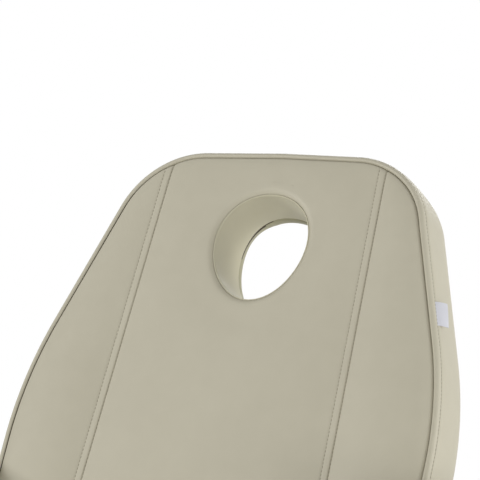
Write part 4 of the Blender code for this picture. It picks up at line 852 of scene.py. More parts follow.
def pressed_out(cover, front):
    """Swells the panels of a cover between its seams; returns the longest move of a point."""
    points = np.array([v.co for v in cover.data.vertices])
    spots = front.points.reshape(-1, 2)
    gap = edge_gap(spots, front.line)
    if front.seam is not None:
        for sign in (-1.0, 1.0):
            near = spots[:, 0] - sign * front.seam(spots[:, 1])
            gap = np.minimum(gap, np.minimum(np.abs(near), np.abs(near + STITCH_ROW)))
    if front.hole:
        width, length, centre, _ = front.hole
        beside = np.hypot(spots[:, 0] / width, (spots[:, 1] - centre) / length) - 0.5
        gap = np.minimum(gap, beside * width - LIP_START)
    free = np.zeros(len(points))
    free[:len(spots)] = np.round(np.clip((gap - HELD) / (FREE - HELD), 0.0, 1.0), 2)
    trial = bare_copy(cover)
    held = trial.vertex_groups.new(name="held")
    for share in np.unique(free):
        held.add([int(k) for k in np.nonzero(free == share)[0]], float(1 - share), "REPLACE")
    cloth = trial.modifiers.new("leather", "CLOTH")
    for name, value in CLOTH_SETTINGS.items():
        setattr(cloth.settings, name, value)
    cloth.settings.effector_weights.gravity = 0.0
    cloth.point_cache.frame_start, cloth.point_cache.frame_end = 1, FRAMES
    for number in range(1, FRAMES + 1):
        bpy.context.scene.frame_set(number)
    swollen = trial.evaluated_get(bpy.context.evaluated_depsgraph_get())
    move = np.array([v.co for v in swollen.data.vertices]) - points
    bpy.data.objects.remove(trial)
    bpy.context.scene.frame_set(1)
    length = np.maximum(np.linalg.norm(move, axis=1), 1e-9)
    move *= (MOST_MOVE * np.tanh(length / MOST_MOVE) / length)[:, None]
    cover.data.vertices.foreach_set("co", (points + move).ravel())
    cover.data.update()
    return round(float(length.max()), 4)


moves = {}
for cushion in cushions:
    moves[cushion.name] = pressed_out(cushion.cover, cushion.front)
    with Editing(cushion.cover):
        bpy.ops.mesh.delete_loose(use_verts=True, use_edges=True, use_faces=False)
print("moved", moves)

# %% [markdown]
# ## The face hole's lining
# A sleeve of the same leather lines the hole, its colour painted lighter than the cover's to make up for the shade
# inside the hole. It is sewn to the front at the lip, where it turns over in a small roll, and it follows the hole as
# it widens to the rear of the board. A darker strip is wrapped round the board's edge. On one side, where the lining
# ends, the strip's first faces are painted near black as a painted shadow. Leather on a tight inside curve never lies
# quite flat, so the wall has a few soft dents.

# %% Lining
LINING_STEPS = 120
LINING_START = (0.0021, 0.0005)                         # outside the hole, above the board
LINING_TOP = ((0.0021, -0.0030), (0.0020, -0.0012), (0.0015, -0.0002), (0.0008, -0.0001), (0.0002, -0.0008),
              (0.0, -0.0022), (-0.0001, -0.0045))
LINING_WALL = np.linspace(0.10, 0.985, 16)              # shares of the way down
LINING_DENTS = ((2.1, 0.35, 0.30, 0.25, 0.0016), (2.75, 0.55, 0.25, 0.30, 0.0014), (1.55, 0.5, 0.22, 0.3, 0.0013),
                (0.9, 0.4, 0.3, 0.25, 0.0012), (3.6, 0.45, 0.3, 0.3, 0.0012), (4.6, 0.5, 0.3, 0.3, 0.0010),
                (5.5, 0.5, 0.3, 0.3, 0.0010))           # angle, depth, their widths, and how deep
DENT_SHARE = 0.9
LINING_RIM = ((0.0002, 0.0004), (-0.0006, -0.0006), (-0.0012, -0.0024), (-0.0013, -0.0060), (-0.0012, -0.0100),
              (-0.0005, -0.0124), (0.0010, -0.0136), (0.0060, -0.0139), (0.0100, -0.0135), (0.0100, -0.0126),
              (0.0010, -0.0126), (-0.0002, -0.0110), (-0.0002, -0.0010))     # round the board's edge to its rear
RIM_TURN, RIM_COVER = (1.15, 2.05, 1.10), 0.0022        # middle, half width and fade of the stretch that shows
RIM_DEPTH = 0.0100
PAINTED_SHADOW_TURNS = ((1.95, 2.98), (2.12, 2.88))                # the painted shadow where the lining ends: from and to, for two rings of faces
turn = np.linspace(0, 2 * math.pi, LINING_STEPS, endpoint=False)
lip = front_height(egg(turn, LIP_RINGS[-1]), back_front)
bare = np.clip((RIM_TURN[1] - np.abs(apart(turn, RIM_TURN[0]))) / RIM_TURN[2], 0.0, 1.0)
bare = bare * bare * (3 - 2 * bare)                     # 1 where the rim shows, 0 where it is covered
rings = [(LINING_START[0] + drawn_out(turn), LINING_START[1])]
rings += [(grow, lip + above) for grow, above in LINING_TOP]
for share in LINING_WALL:
    dent = np.zeros(LINING_STEPS)
    for angle, down, wide, tall, deep in LINING_DENTS:
        dent += deep * np.exp(-(apart(turn, angle) / wide) ** 2 - ((share - down) / tall) ** 2)
    over = (1 - bare) * RIM_COVER * share ** 6 - drawn_out(turn) * share ** 2
    rings.append((LINING_TOP[-1][0] + dent * DENT_SHARE - over, (lip + LINING_TOP[-1][1]) * (1 - share)))
first_rim = len(rings)
for grow, height in LINING_RIM:
    rings.append((grow + drawn_out(turn, min(max(-height / RIM_DEPTH, 0.0), 1.0)), height))
points = [np.column_stack((egg(turn, grow), np.zeros(LINING_STEPS) + height)) for grow, height in rings]
faces = []
for k in range(len(rings)):
    this, following = k * LINING_STEPS, ((k + 1) % len(rings)) * LINING_STEPS
    for m in range(LINING_STEPS):
        n = (m + 1) % LINING_STEPS
        faces.append((this + m, this + n, following + n, following + m))
lining = make_object("face_hole_lining_cover", back.to_world(np.concatenate(points)), faces, LINER_PAINTED_LIGHT, RIM, GAP_PAINTED_SHADOW)
with Editing(lining):
    bpy.ops.mesh.normals_make_consistent(inside=False)
bpy.ops.object.shade_smooth_by_angle(angle=LEATHER_SMOOTH)
number = np.arange(len(lining.data.polygons))
ring, angle = number // LINING_STEPS, turn[number % LINING_STEPS]
looks = np.where(ring < first_rim, 0, 1)
# On one side, the first two rings of the rim strip take the painted shadow.
for k, (start, stop) in enumerate(PAINTED_SHADOW_TURNS):
    looks[(ring == first_rim + k) & (angle > start) & (angle < stop)] = 2
lining.data.polygons.foreach_set("material_index", looks)
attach(lining, "back")
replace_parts(lining, "face_hole_lining")
print("lining", len(lining.data.polygons), "faces")

# %% [markdown]
# ## Threads
# Rows of stitches run beside the long seams, in their valleys and round the boxing. One stitch is a short rod with
# round ends, modelled once and laid along each row at an even pitch.

# %% One stitch
STITCH_PITCH, STITCH_SIZE = 0.0053, (0.0035, 0.0011, 0.0011 * 0.8)
bpy.ops.mesh.primitive_uv_sphere_add(segments=6, ring_count=5, radius=0.5, location=(0, 0, 0),
                                     rotation=(0, math.pi / 2, 0))
bpy.ops.object.transform_apply(location=False, rotation=True, scale=False)
STITCH = pattern(STITCH_SIZE)


def thread(name, dark, light, specular=0.5):
    """A twisted thread between two tones."""
    made, tree, shader, spot = new_look(name)
    twist = noise(tree, spot, 1500.0, 2.0)
    feed(tree, shader, {"Base Color": tint(tree, twist, dark, light), "Specular IOR Level": specular,
                        "Roughness": remap(tree, twist, 0.55, 0.75)})
    return made


THREAD = thread("thread", (0.215, 0.195, 0.140), (0.300, 0.275, 0.200))
# The boxing's row is darker than the other rows: its dark thread paints the shade in the boxing's groove.
BOXING_SHADE_THREAD = thread("boxing_thread_painted_shade", (0.090, 0.079, 0.054), (0.130, 0.115, 0.080))
# A near-black thread in the edge seam: its dark colour paints the shade in the seam's narrow valley.
EDGE_SHADOW_THREAD = thread("edge_shadow_thread", (0.055, 0.045, 0.026), (0.078, 0.065, 0.040), 0.1)
print("stitch", len(STITCH[0]), "points")

# %% [markdown]
# A row is one object, so that it rides with its cushion. Round the edge seam runs one long dark thread, which paints
# the shade in the seam as a thin dark line. It lies deeper and is thinner on the +X side, and it is lifted and thicker
# on the -X side, so that the painted shade line is darker on the -X side.

# %% Rows of stitches
ROW_STEPS, ROW_ENDS, ROW_CLEAR = 400, (0.004, 0.006), 0.004
ROWS = (("row", -STITCH_ROW, 0.0001), ("valley", 0.0, 0.0004))      # name, offset from the seam, lift
HIGH_END = 200                                       # points of an outline that belong to its high end
EDGE_RADIUS, EDGE_LIFT = (0.00031, 0.00039), (0.0002, 0.0023)       # of the edge thread, and what the -X side has more
BOXING_LIFT, AIMED = 0.0006, 0.001                   # AIMED: half of the stretch that a stitch's direction is read from


def laid_along(name, path, normal, body, closed=False, shape=STITCH, pitch=STITCH_PITCH, look=THREAD):
    """A small shape laid along a line of points with their normals."""
    shape_points, shape_faces = shape
    if closed:
        path, normal = np.vstack((path, path[:1])), np.vstack((normal, normal[:1]))
    way = np.concatenate(([0.0], np.cumsum(np.linalg.norm(np.diff(path, axis=0), axis=1))))
    count = int(way[-1] / pitch)
    at = (np.arange(count) + 0.5) * way[-1] / count

    def along(values, where):
        return np.stack([np.interp(where, way, values[:, k]) for k in range(3)], -1)

    centre = along(path, at)
    forward = along(path, np.minimum(at + AIMED, way[-1])) - along(path, np.maximum(at - AIMED, 0.0))
    forward /= np.linalg.norm(forward, axis=1)[:, None]
    up = along(normal, at)
    up -= forward * np.sum(up * forward, axis=1)[:, None]
    up /= np.linalg.norm(up, axis=1)[:, None]
    side = np.cross(up, forward)
    points = (centre[:, None] + forward[:, None] * shape_points[None, :, :1] + side[:, None]
              * shape_points[None, :, 1:2] + up[:, None] * shape_points[None, :, 2:])
    faces = [tuple(k * len(shape_points) + v for v in face) for k in range(count) for face in shape_faces]
    made = make_object(name, points.reshape(-1, 3), faces, look)
    made.data.polygons.foreach_set("use_smooth", [True] * len(made.data.polygons))
    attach(made, body)
    return made


def sewn_rows(cushion):
    """The rows of one cushion: two along each long seam, the edge's dark thread as a painted shade line, and one row
    round the boxing.
    """
    made, front, line = [], cushion.front, cushion.front.line
    if front.seam is not None:
        y = np.linspace(line.y[0] + ROW_ENDS[0], line.y[-1] - ROW_ENDS[1], ROW_STEPS)
        for word, sign in (("left", -1.0), ("right", 1.0)):
            for kind, offset, lift in ROWS:
                spots = np.column_stack((sign * front.seam(y) + offset, y))
                end = np.interp(np.abs(spots[:, 0]), line.x[::-1][:HIGH_END], line.y[::-1][:HIGH_END])
                spots = spots[end > y + ROW_CLEAR]
                path = np.column_stack((spots, front_height(spots, front) + lift))
                normal = np.cross((1.0, 0.0, 0.0), np.gradient(path, axis=0))
                normal /= np.linalg.norm(normal, axis=1)[:, None]
                made.append(laid_along(cushion.rows + "_" + kind + "_" + word, cushion.to_world(path),
                                       cushion.normals(normal), cushion.body))
    ring = front.ring(0.0)
    # The thread is thicker and lifted on the -X side, so that the painted shade line is darker there.
    darker_line_side = np.maximum(-outward(ring)[:, 0], 0.0) ** 1.5
    lift = EDGE_LIFT[0] + EDGE_LIFT[1] * darker_line_side
    path = cushion.to_world(np.column_stack((ring, front_height(ring, front, 0.0) + lift)))
    curve = bpy.data.curves.new(cushion.rows + "_edge", "CURVE")
    curve.dimensions = "3D"
    curve.bevel_depth, curve.bevel_resolution = EDGE_RADIUS[0], 1
    spline = curve.splines.new("POLY")
    spline.points.add(len(path) - 1)
    spline.points.foreach_set("co", np.column_stack((path, np.ones(len(path)))).ravel())
    spline.points.foreach_set("radius", 1.0 + EDGE_RADIUS[1] / EDGE_RADIUS[0] * darker_line_side)
    spline.use_cyclic_u = True
    select_only(put(cushion.rows + "_edge", curve))
    bpy.ops.object.convert(target="MESH")
    edge = bpy.context.object
    edge.data.materials.clear()
    edge.data.materials.append(EDGE_SHADOW_THREAD)
    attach(edge, cushion.body)
    path, normal = cushion.boxing
    return made + [edge, laid_along(cushion.rows + "_boxing_row", cushion.to_world(path + normal * BOXING_LIFT),
                                    cushion.normals(normal), cushion.body, True, look=BOXING_SHADE_THREAD)]


threads = [row for cushion in cushions for row in sewn_rows(cushion)]
print("rows of stitches", len(threads), "faces", sum(len(t.data.polygons) for t in threads))

# %% [markdown]
# A small woven tag is caught in the row of stitches on the +X side of the backrest. It is plain cloth, folded once,
# and it stands off the leather a little. So it starts as a grid that is bent along its width and then given a
# thickness.

# %% Woven tag
TAG_ALONG, TAG_REACH, TAG_LENGTH, TAG_THICK = 0.5100, 0.0225, 0.034, 0.0007
TAG_LEAN = (math.radians(36.0), math.radians(66.0))       # away from the side, at the stitches and at the free end
TAG_ROOT = (0.0032, 0.0024)                               # in from the row of stitches, and above it
TAG_DROOP, DROOP_WAVE, DROOP_START = 0.0012, 2.2, 0.6
woven, tree, shader, spot = new_look("woven_tag")
weave = add(tree, "TexWave", {"Vector": spot, "Scale": 1100.0, "Distortion": 1.5})
soil = noise(tree, spot, 90.0)
feed(tree, shader, {"Base Color": tint(tree, soil, (0.585, 0.585, 0.630), (0.660, 0.665, 0.710)),
                    "Roughness": remap(tree, soil, 0.7, 0.85),
                    "Normal": relief(tree, weave.outputs["Fac"], 0.0002)})

bpy.ops.mesh.primitive_grid_add(x_subdivisions=10, y_subdivisions=12, size=1.0, location=(0, 0, 0))
tag = bpy.context.object
tag.name = "woven_tag"
row, row_normals = back.boxing
tag_at = int(np.argmin(np.abs(row[:, 1] - TAG_ALONG) + (row[:, 0] < 0)))
out, above = row_normals[tag_at], np.array((0.0, 0.0, 1.0))
root = row[tag_at] - out * TAG_ROOT[0] + above * TAG_ROOT[1]
along_edge = np.array((-out[1], out[0], 0.0))
spots = []
for vertex in tag.data.vertices:
    share, length = vertex.co.x + 0.5, vertex.co.y * TAG_LENGTH
    lean = TAG_LEAN[0] + (TAG_LEAN[1] - TAG_LEAN[0]) * np.linspace(0, share, 12)
    reach = TAG_REACH * share * np.array((np.cos(lean).mean(), np.sin(lean).mean()))
    droop = TAG_DROOP * math.sin(DROOP_WAVE * length / TAG_LENGTH + DROOP_START) * share
    spots.append(root + out * (reach[0] + droop) + along_edge * length - above * reach[1])
tag.data.vertices.foreach_set("co", back.to_world(np.array(spots)).ravel())
tag.data.materials.append(woven)
folded = tag.modifiers.new("folded", "SOLIDIFY")
folded.thickness, folded.offset = TAG_THICK, 0.0
bpy.ops.object.modifier_apply(modifier="folded")
bpy.ops.object.shade_smooth_by_angle(angle=math.radians(45.0))
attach(tag, "back")
print("tag faces", len(tag.data.polygons))

# %% [markdown]
# ## The frame
# Real steelwork has no knife edges: cut plates are deburred and tubes have rounded corners, and those small rounds
# catch the light. Each plate, tube and bracket of the model is copied, its triangles are merged back into faces,
# and every sharp edge gets a narrow bevel.

# %% Eased edges
MERGED, FLAT, SHARP = 0.00002, math.radians(1.0), math.radians(28.0)
STEEL_SMOOTH = math.radians(38.0)
EASED = {"base_rail_": 0.0035, "base_cross_": 0.0030, "seat_rail_": 0.0025, "seat_cross_": 0.0025,
         "back_tube_": 0.0025, "back_cross_": 0.0025, "leg_tube_": 0.0025, "leg_cross": 0.0020, "lower_arm_": 0.0018,
         "upper_arm_": 0.0018, "armrest_bracket_": 0.0015}


def bevelled(made, **settings):
    """Rounds the sharp edges of the active piece."""
    bevel = made.modifiers.new("rounded", "BEVEL")
    bevel.limit_method = "ANGLE"
    for name, value in settings.items():
        setattr(bevel, name, value)
    bpy.ops.object.modifier_apply(modifier="rounded")


def eased(node, width, look):
    """A copy of a model's node with its sharp edges rounded."""
    made = bare_copy(nodes[node])
    made.name = node + "_finished"
    made.parent = None
    made.data.materials.clear()
    made.data.materials.append(look)
    with Editing(made):
        bpy.ops.mesh.remove_doubles(threshold=MERGED)
        bpy.ops.mesh.dissolve_limited(angle_limit=FLAT)
    bevelled(made, width=width, segments=2, angle_limit=SHARP, use_clamp_overlap=True, harden_normals=False)
    bpy.ops.object.shade_smooth_by_angle(angle=STEEL_SMOOTH)
    return made


def stands_for(made, node):
    """The piece takes over a node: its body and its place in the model."""
    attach(made, nodes[node]["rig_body"])
    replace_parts(made, node)
    return made


steelwork = [(name, width) for name in sorted(nodes) for word, width in EASED.items() if name.startswith(word)]
for name, width in steelwork:
    stands_for(eased(name, width, PAINT), name)
print("eased", len(steelwork))

# %% [markdown]
# The cross tubes are welded to the rails. A weld is a row of small overlapping scales, so one flat drop is modelled
# and laid round the end of each tube, like the stitches of the covers.

# %% Welds
WELD_PITCH, WELD_SIZE, WELD_SUNK, WELD_STEPS = 0.0023, (0.0040, 0.0052, 0.0030), 0.0002, 24
AT_END = 0.002                 # points this near to a tube's end belong to it
bpy.ops.mesh.primitive_uv_sphere_add(segments=8, ring_count=5, radius=0.5, location=(0, 0, 0))
DROP = pattern(WELD_SIZE)


def node_points(node, matrix=Matrix()):
    """Points of a model's node, in the frame of a matrix."""
    back_to = matrix.inverted()
    return np.array([back_to @ (nodes[node].matrix_world @ v.co) for v in nodes[node].data.vertices])


welds = []
for node in ("base_cross_front", "base_cross_middle", "base_cross_rear", "seat_cross_front", "seat_cross_rear"):
    points = node_points(node)
    for word, end in (("right", points[:, 0].min()), ("left", points[:, 0].max())):
        near = points[np.abs(points[:, 0] - end) < AT_END, 1:]
        low, high = near.min(0) + WELD_SUNK, near.max(0) - WELD_SUNK
        corners = np.array((low, (high[0], low[1]), high, (low[0], high[1]), low))
        path = np.concatenate([np.linspace(a, b, WELD_STEPS, endpoint=False) for a, b in zip(corners, corners[1:])])
        middle = (low + high) / 2
        away = (path - middle) / (high - middle)
        upright = np.abs(away[:, 1]) >= np.abs(away[:, 0])
        face = np.column_stack((np.zeros(len(path)), np.where(upright, 0.0, np.sign(away[:, 0])),
                                np.where(upright, np.sign(away[:, 1]), 0.0)))
        welds.append(laid_along(node + "_weld_" + word, np.column_stack((np.full(len(path), end), path)), face,
                                nodes[node]["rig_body"], True, DROP, WELD_PITCH, PAINT))
print("welds", len(welds))

# %% [markdown]
# ## Boards
# Each cushion is screwed to a plywood board. Its edge shows the plies as stripes, and a thin black cloth is stapled
# over its rear. The stripes follow a value kept on the points, the depth in the board, because the three boards lie
# at three angles. The cloth is an inset of the rear faces, drawn out by less than a millimetre. The hole in the board
# behind the face hole widens with its lining.

# %% Boards
PLY, PLY_DARK, BOARD_EDGE = 0.0017, (0.070, 0.043, 0.026), 0.0012
CLOTH_IN, CLOTH_THICK, CLOTH_STEP, REAR_SKIN = 0.011, 0.0006, 0.0003, 0.0003
STAPLE_SIZE, STAPLE_BEVEL, STAPLE_PITCH, STAPLE_IN = (0.0105, 0.0012, 0.0007), 0.0003, 0.034, 0.024
HOLE_EDGE = 1.1                # points within this share of the hole's size lie on its edge
plies = BOARD.copy()
plies.name = "plywood_plies"
tree = plies.node_tree
stripe = sums(tree, add(tree, "Attribute", attribute_name="ply").outputs["Fac"], PLY, "PINGPONG")
stained = tree.nodes["Principled BSDF"].inputs["Base Color"].links[0].from_socket
feed(tree, tree.nodes["Principled BSDF"], {
    "Base Color": tint(tree, remap(tree, stripe, 0.0, 1.0, 0.0, PLY), stained, PLY_DARK)})
bpy.ops.mesh.primitive_cube_add(size=1.0, location=(0, 0, 0))
STAPLE = pattern(STAPLE_SIZE, STAPLE_BEVEL)


def inset_faces(made, chosen, *insets):
    """Insets the faces that pass a test, once for each width and depth; the inner ones stay selected."""
    for face in made.data.polygons:
        face.select = bool(chosen(face))
    for parts in (made.data.edges, made.data.vertices):
        parts.foreach_set("select", [False] * len(parts))
    with Editing(made, False):
        bpy.ops.mesh.select_mode(type="FACE")
        for thickness, depth in insets:
            bpy.ops.mesh.inset(thickness=thickness, depth=depth)


def widen_hole(made, cushion):
    """Moves the edge of a board's hole out, as far as the lining goes."""
    width, length, centre, shape = cushion.front.hole
    back_to = cushion.matrix.inverted()
    spots = np.array([back_to @ v.co for v in made.data.vertices])
    sine = (spots[:, 1] - centre) / (length / 2)
    cosine = spots[:, 0] / (width / 2 * (1 + shape * np.clip(sine, -1.0, 1.0)))
    turn = np.arctan2(sine, cosine)
    level = np.clip((cushion.bottom - spots[:, 2]) / RIM_DEPTH, 0.0, 1.0)
    wider = egg(turn, drawn_out(turn, level)) - egg(turn, 0.0)
    spots[:, :2] += np.where(np.hypot(sine, cosine) < HOLE_EDGE, 1.0, 0.0)[:, None] * wider
    made.data.vertices.foreach_set("co", moved(spots, cushion.matrix).ravel())


def covered_board(cushion):
    """A cushion's board with its plies, its cloth and the staples round it."""
    node = cushion.word + "_board"
    made = eased(node, BOARD_EDGE, plies)
    made.data.materials.append(CLOTH)
    if cushion.front.hole:
        widen_hole(made, cushion)
    rear = cushion.matrix.to_3x3() @ Vector((0.0, 0.0, -1.0))
    depths = np.array([rear.dot(v.co) for v in made.data.vertices])
    inset_faces(made, lambda face: rear.dot(face.normal) > 0.95 and rear.dot(face.center) > depths.max() - REAR_SKIN,
                (CLOTH_IN, 0.0), (CLOTH_STEP, CLOTH_THICK))
    for face in made.data.polygons:
        face.material_index = int(face.select)
    value = made.data.attributes.new("ply", "FLOAT", "POINT")
    value.data.foreach_set("value", [float(depths.max() - rear.dot(v.co)) for v in made.data.vertices])
    stands_for(made, node)
    edge, normal = cushion.boxing
    path = edge - normal * (np.abs(edge[:, :1]).max() - WIDTH / 2 + STAPLE_IN)
    path[:, 2] = depths.min() - depths.max() - REAR_SKIN - CLOTH_THICK
    row = laid_along(node + "_staples", cushion.to_world(path), np.tile(np.array(rear), (len(path), 1)),
                     nodes[node]["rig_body"], True, STAPLE, STAPLE_PITCH, STEEL)
    return made, row


boards = [covered_board(cushion) for cushion in (back, seat, leg)]
print("boards", [(len(b.data.polygons), len(r.data.polygons)) for b, r in boards])

# %% [markdown]
# ## Bolts, pins and shafts
# The frame turns on steel shafts and pins. Hexagon bolts hold the motors, and round heads with a hexagon socket close
# the pins. A socket is cut once into a short cylinder: its end is inset, the inner ring is drawn to a hexagon and
# pushed in. The other heads are scaled copies.

# %% Shaped pieces
AXIS_TURN = {"X": (0.0, math.pi / 2, 0.0), "Y": (-math.pi / 2, 0.0, 0.0), "Z": (0.0, 0.0, 0.0)}
HEAD_SIDES, HEAD_HEIGHT, HEAD_BEVEL = 36, 0.6, 0.12      # of a head of radius 1
SOCKET_INSET, SOCKET_FLAT, SOCKET_DEPTH = 0.36, 0.50, 0.34


def shaped(kind, size, centre, axis="Z", bevel=0.001, sides=40, look=CASE, steps=2):
    """A block, a cone or a round of one size in one place, with its edges rounded."""
    if kind == "block":
        bpy.ops.mesh.primitive_cube_add(size=1.0, location=centre)
        bpy.context.object.scale = size
    elif kind == "cone":
        bpy.ops.mesh.primitive_cone_add(vertices=sides, radius1=size[0], radius2=size[1], depth=size[2],
                                        location=centre, rotation=AXIS_TURN[axis])
    else:
        bpy.ops.mesh.primitive_cylinder_add(vertices=sides, radius=size[0], depth=size[1], location=centre,
                                            rotation=AXIS_TURN[axis])
    made = bpy.context.object
    bpy.ops.object.transform_apply(location=True, rotation=True, scale=True)
    made.data.materials.append(look)
    if bevel:
        bevelled(made, width=bevel, segments=steps, angle_limit=math.radians(30.0))
    return made


def joined(name, pieces, body):
    """Pieces made one object, which rides on a body."""
    select_only(*pieces)
    if len(pieces) > 1:
        bpy.ops.object.join()
    made = bpy.context.object
    made.name = name
    bpy.ops.object.shade_smooth_by_angle(angle=STEEL_SMOOTH)
    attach(made, body)
    return made


def finished(node, pieces):
    """Pieces made one object, which stands for a node."""
    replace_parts(joined(node + "_finished", pieces, nodes[node]["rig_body"]), node)


head = shaped("round", (1.0, HEAD_HEIGHT), (0.0, 0.0, HEAD_HEIGHT / 2), bevel=HEAD_BEVEL, sides=HEAD_SIDES, look=STEEL)
inset_faces(head, lambda face: face.normal.z > 0.99 and len(face.vertices) == HEAD_SIDES, (SOCKET_INSET, 0.0))
for index in next(f for f in head.data.polygons if f.select).vertices:
    spot = head.data.vertices[index].co
    angle = math.atan2(spot.y, spot.x)
    reach = SOCKET_FLAT / math.cos((angle + math.pi / 6) % (math.pi / 3) - math.pi / 6)
    spot.x, spot.y = reach * math.cos(angle), reach * math.sin(angle)
with Editing(head, False):
    bpy.ops.mesh.extrude_region_move(TRANSFORM_OT_translate={"value": (0.0, 0.0, -SOCKET_DEPTH)})
HEAD_POINTS, HEAD_FACES = taken(head)


def socket_head(radius, height, spot, direction):
    """A round head with a hexagon socket, standing on a point and facing a direction."""
    turn = np.array(Vector((0, 0, 1)).rotation_difference(Vector(direction)).to_matrix())
    points = (HEAD_POINTS * (radius, radius, height / HEAD_HEIGHT)) @ turn.T + np.array(spot)
    return make_object("head", points, HEAD_FACES, STEEL)


print("head", len(HEAD_FACES), "faces")

# %% [markdown]
# Each bolt, pin and shaft fills the box of its node in the model, so only its radius and its heads are given here.

# %% Bolts, pins and shafts
BOLT_RADIUS, BOLT_SHORT = 0.0055, 0.004
HEXAGON, HEXAGON_FACE = (0.009, 0.0050), (0.0074, 0.0054)       # radius and height: head, and the round on its face
PIN_RADIUS, PIN_HEAD, SHAFT_RADIUS, ROD_EDGE = 0.0069, 0.0110, 0.010, 0.0010
PINS = {"back_hinge_pin_": (0.0040, False), "leg_hinge_pin_": (0.0057, False),
        "armrest_bolt_": (0.0040, True)}                        # height of a head, and whether both ends have one
for node in ("lift_bolt", "back_bolt", "leg_bolt"):
    low, high, middle = spans(node)
    pieces = [shaped("round", (BOLT_RADIUS, high.x - low.x - BOLT_SHORT), middle, "X", 0.0, look=STEEL)]
    quarter = Matrix.Translation(middle) @ Matrix.Rotation(math.pi / 2, 4, "X") @ Matrix.Translation(-middle)
    for x in (low.x + HEXAGON[1] / 2, high.x - HEXAGON[1] / 2):
        pieces.append(shaped("round", HEXAGON, (x, middle.y, middle.z), "X", 0.0005, 6, STEEL))
        pieces[-1].data.transform(quarter)
        pieces.append(shaped("round", HEXAGON_FACE, (x, middle.y, middle.z), "X", 0.0004, look=STEEL))
    finished(node, pieces)

for kind, (height, both) in PINS.items():
    for side, outer in (("left", 1), ("right", -1)):
        low, high, middle = spans(kind + side)
        ends = (1, -1) if both else (outer,)
        first, last = low.x + (height if -1 in ends else 0.0), high.x - (height if 1 in ends else 0.0)
        pieces = [shaped("round", (PIN_RADIUS, last - first), ((first + last) / 2, middle.y, middle.z), "X", 0.0008,
                         look=STEEL)]
        for end in ends:
            spot = (last if end > 0 else first, middle.y, middle.z)
            pieces.append(socket_head(PIN_HEAD, height, spot, (end, 0, 0)))
        finished(kind + side, pieces)

for node in ("lower_top_shaft", "upper_base_shaft", "upper_top_shaft"):
    low, high, middle = spans(node)
    finished(node, [shaped("round", (SHAFT_RADIUS, high.x - low.x), middle, "X", 0.0012, look=STEEL)])
for node in ("torque_shaft", "lift_rod", "back_rod", "leg_rod"):
    stands_for(eased(node, ROD_EDGE, STEEL), node)
for node in ("armrest_post_left", "armrest_post_right"):
    stands_for(eased(node, ROD_EDGE, PAINT), node)
print("heads on pins", sum(4 if both else 2 for _, both in PINS.values()))

# %% [markdown]
# ## Linear motors
# Each motor has a gear housing split by a flange, a motor can beside the tube, and a collar with a seal where the rod
# comes out. All three are built alike, from blocks and rounds, on the line of their bolt.

# %% Linear motors
MOTORS = {"lift_actuator": ("lift_bolt", -1.0, 1.0), "back_actuator": ("back_bolt", 1.0, 1.0),
          "leg_actuator": ("leg_bolt", -1.0, -1.0)}             # bolt, way of the rod, side of the motor can
CAN, TUBE_START = 0.043, 0.066                                  # can beside the tube, tube's start ahead of the bolt
CASE_SCREW, CASE_TOP = (0.0030, 0.0016), 0.0258
for node, (bolt, ahead, aside) in MOTORS.items():
    x, y, z = spans(bolt)[2]
    low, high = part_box(node)
    end = (y - low.y) if ahead < 0 else (high.y - y)

    def at(across, along, up=0.0):
        return x + aside * across, y + ahead * along, z + up

    pieces = [shaped("block", (0.044, 0.090, 0.052), at(0.0, 0.025), bevel=0.005, steps=3),          # gear housing
              shaped("block", (0.0452, 0.0024, 0.0532), at(0.0, 0.046), bevel=0.0006),               # flange
              shaped("block", (0.048, 0.022, 0.040), at(0.030, 0.031), bevel=0.005, steps=3),        # bridge to the can
              shaped("round", (0.0228, 0.108), at(CAN, 0.085), "Y", 0.0015),                         # motor can
              shaped("round", (0.0233, 0.0030), at(CAN, 0.127), "Y", 0.0006),                        # its band
              shaped("round", (0.0215, 0.0120), at(CAN, 0.1435), "Y", 0.0030, look=RUBBER),          # its cap
              shaped("round", (0.0168, end - TUBE_START), at(0.0, (end + TUBE_START) / 2), "Y", 0.0),   # outer tube
              shaped("round", (0.0198, 0.0180), at(0.0, end - 0.0095), "Y", 0.0016),                 # collar
              shaped("round", (0.0203, 0.0030), at(0.0, end - 0.0130), "Y", 0.0008),                 # its band
              shaped("round", (0.0135, 0.0020), at(0.0, end - 0.0005), "Y", 0.0005, look=RUBBER),    # seal
              shaped("round", (0.0062, 0.0060), at(-0.0245, 0.012), "X", 0.0010, look=RUBBER)]       # lead entry
    for across in (-0.0145, 0.0145):
        for along in (-0.0105, 0.0365, 0.0595):
            for up in (1.0, -1.0):
                pieces.append(socket_head(*CASE_SCREW, at(across, along, up * CASE_TOP), (0.0, 0.0, up)))
    finished(node, pieces)
print("motors", len(MOTORS))

# %% [markdown]
# ## Feet, control box and end caps
# The feet screw into the rails and are locked by a nut. The control box has a lid, vents and a row of sockets for the
# motors, and its inlet takes a mains lead. The open ends of the tubes are closed by plastic caps.

